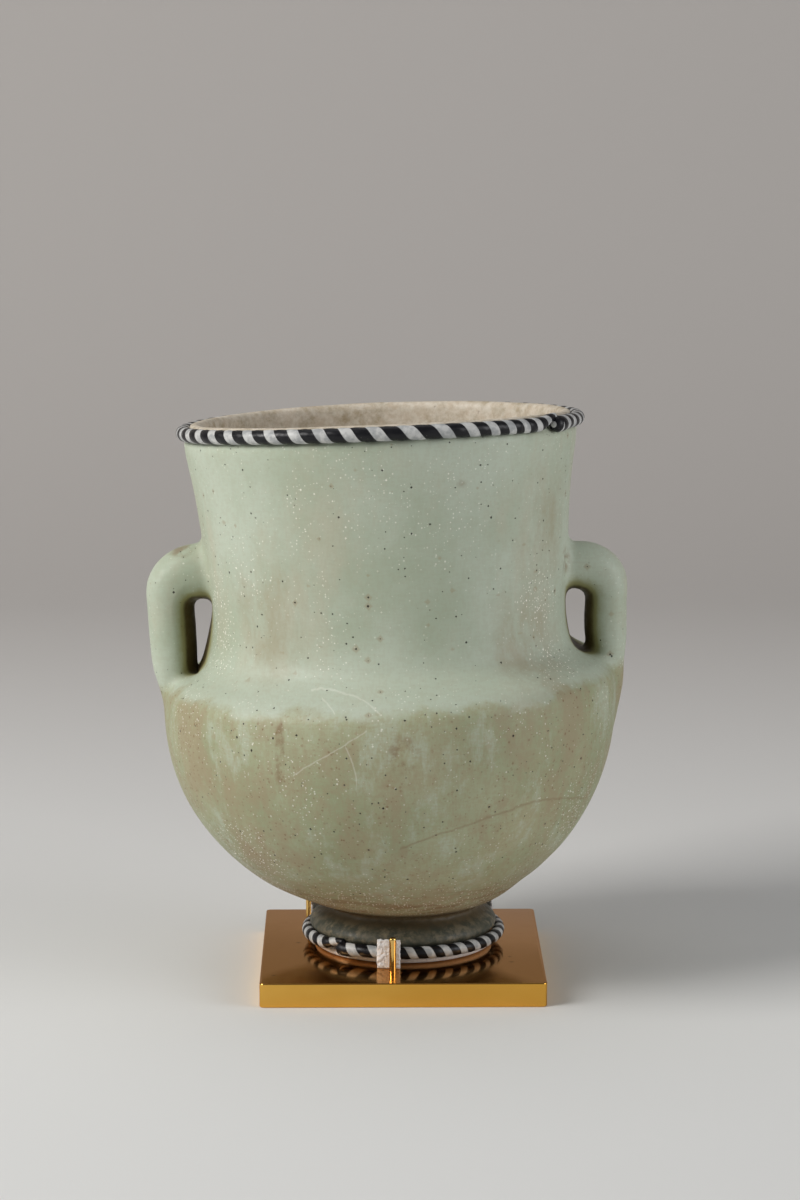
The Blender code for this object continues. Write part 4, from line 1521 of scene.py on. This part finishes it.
@dataclass
class Studio:
    """Floor, backdrop, lights and camera."""

    floor_depth: float = 0.38
    floor_width: float = 2.2
    front: float = 1.2
    sweep: float = 0.30
    wall_height: float = 1.3
    camera_place: Vector = field(default_factory=lambda: Vector((-0.00744, -0.6380, 0.1818)))
    camera_aim: Vector = field(default_factory=lambda: Vector((-0.00031, 0.0, 0.06852)))
    lens: float = 108.0

    def build(self) -> None:
        """Builds the whole studio."""
        self.paper()
        self.camera()
        self.light("key_light", (-0.80, -0.32, 0.60), 0.06, 0.50, 9.0, (1.0, 0.985, 0.96))
        self.light("fill_light", (0.93, -0.36, 0.34), 0.05, 0.60, 4.3, (0.98, 0.985, 1.0))
        self.light("top_light", (-0.10, 0.25, 0.95), 0.05, 0.60, 1.0, (1.0, 1.0, 1.0))
        world = bpy.data.worlds.new("studio_air")
        bpy.context.scene.world = world
        world.use_nodes = True
        air = world.node_tree.nodes["Background"]
        air.inputs["Color"].default_value = (0.95, 0.97, 1.0, 1.0)
        air.inputs["Strength"].default_value = 0.17
        bpy.context.scene.view_settings.view_transform = "Standard"
        LOG.info("studio: floor, backdrop, three lights and the camera")

    def paper(self) -> None:
        """A paper sweep: flat floor that curves up into the backdrop."""
        deselect_all()
        bend = arc((self.floor_depth, self.sweep), self.sweep, -90.0, 0.0, 18)
        profile = [Vector((-self.front, 0.0))] + bend
        profile.append(Vector((self.floor_depth + self.sweep, self.wall_height)))
        bpy.ops.mesh.primitive_plane_add(size=1.0)
        item = bpy.context.object
        item.name = "paper_sweep"
        bpy.ops.object.mode_set(mode="EDIT")
        edit = bmesh.from_edit_mesh(item.data)
        bmesh.ops.delete(edit, geom=list(edit.verts), context="VERTS")
        rows = [[edit.verts.new((x, place.x, place.y)) for x in (-self.floor_width, self.floor_width)]
                for place in profile]
        for low, high in zip(rows[:-1], rows[1:]):
            edit.faces.new((low[0], low[1], high[1], high[0]))
        bmesh.update_edit_mesh(item.data)
        bpy.ops.object.mode_set(mode="OBJECT")
        shade_smooth(item)
        item.data.materials.append(StageFinish().build())

    def camera(self) -> None:
        """The camera at the photograph's viewing angle."""
        data = bpy.data.cameras.new("front_view")
        data.lens = self.lens
        item = bpy.data.objects.new("front_view", data)
        item.location = self.camera_place
        item.rotation_euler = (self.camera_aim - self.camera_place).to_track_quat("-Z", "Y").to_euler()
        bpy.context.scene.collection.objects.link(item)
        bpy.context.scene.camera = item

    def light(self, name: str, place: Place, aim_height: float, size: float, power: float,
              tint: Colour) -> None:
        """Adds a soft square light that faces the middle axis.

        Args:
            name: The light's name.
            place: Where its middle is.
            aim_height: Height of the point that it faces.
            size: Its width and height.
            power: Its power in watts.
            tint: Its colour.
        """
        data = bpy.data.lights.new(name, "AREA")
        data.shape = "RECTANGLE"
        data.size = size
        data.size_y = size
        data.energy = power
        data.color = tint
        item = bpy.data.objects.new(name, data)
        item.location = place
        sight = Vector((0.0, 0.0, aim_height)) - Vector(place)
        item.rotation_euler = sight.to_track_quat("-Z", "Y").to_euler()
        bpy.context.scene.collection.objects.link(item)


def main() -> None:
    """Builds every piece in order."""
    logging.basicConfig(level=logging.INFO, format="%(name)s: %(message)s")
    noise.seed_set(NOISE_SEED)
    sizes = JarSizes()
    stance = Stance(sizes)
    speckles = build_speckles()
    arc_line = build_arc_line()
    Studio().build()
    glass = GlassFinish(sizes).build(speckles, arc_line)
    Jar(sizes, stance).build(glass)
    threads = CaneFinish().build(speckles)
    rim_twist = Twist(even=0.0046, start=3.6, wide=0.0013, wide_middle=9.0, tight=0.0013)
    TwistedCane("rim_twist", "rim_cane", stance, sizes.rim_cane_ring, sizes.rim_cane_thickness,
                sizes.rim_cane_height, math.radians(59.8), rim_twist).build(threads)
    foot_twist = Twist(even=0.00315, start=7.6, wide=0.0012, wide_middle=-26.0, wide_reach=9.0)
    TwistedCane("foot_twist", "foot_cane", stance, sizes.foot_cane_ring, sizes.foot_cane_thickness,
                sizes.foot_cane_height, math.radians(-38.5), foot_twist, steps=600, sides=30).build(threads)
    mount = BrassMount(stance)
    pin_finish = BrassFinish(name="pin_brass", top=(0.860, 0.560, 0.180), marks=0.02, roughness=0.12)
    mount.build(BrassFinish().build(speckles), pin_finish.build(speckles))
    FeltPads(stance, sizes, mount).build(FeltFinish().build())


if __name__ == "__main__":
    main()
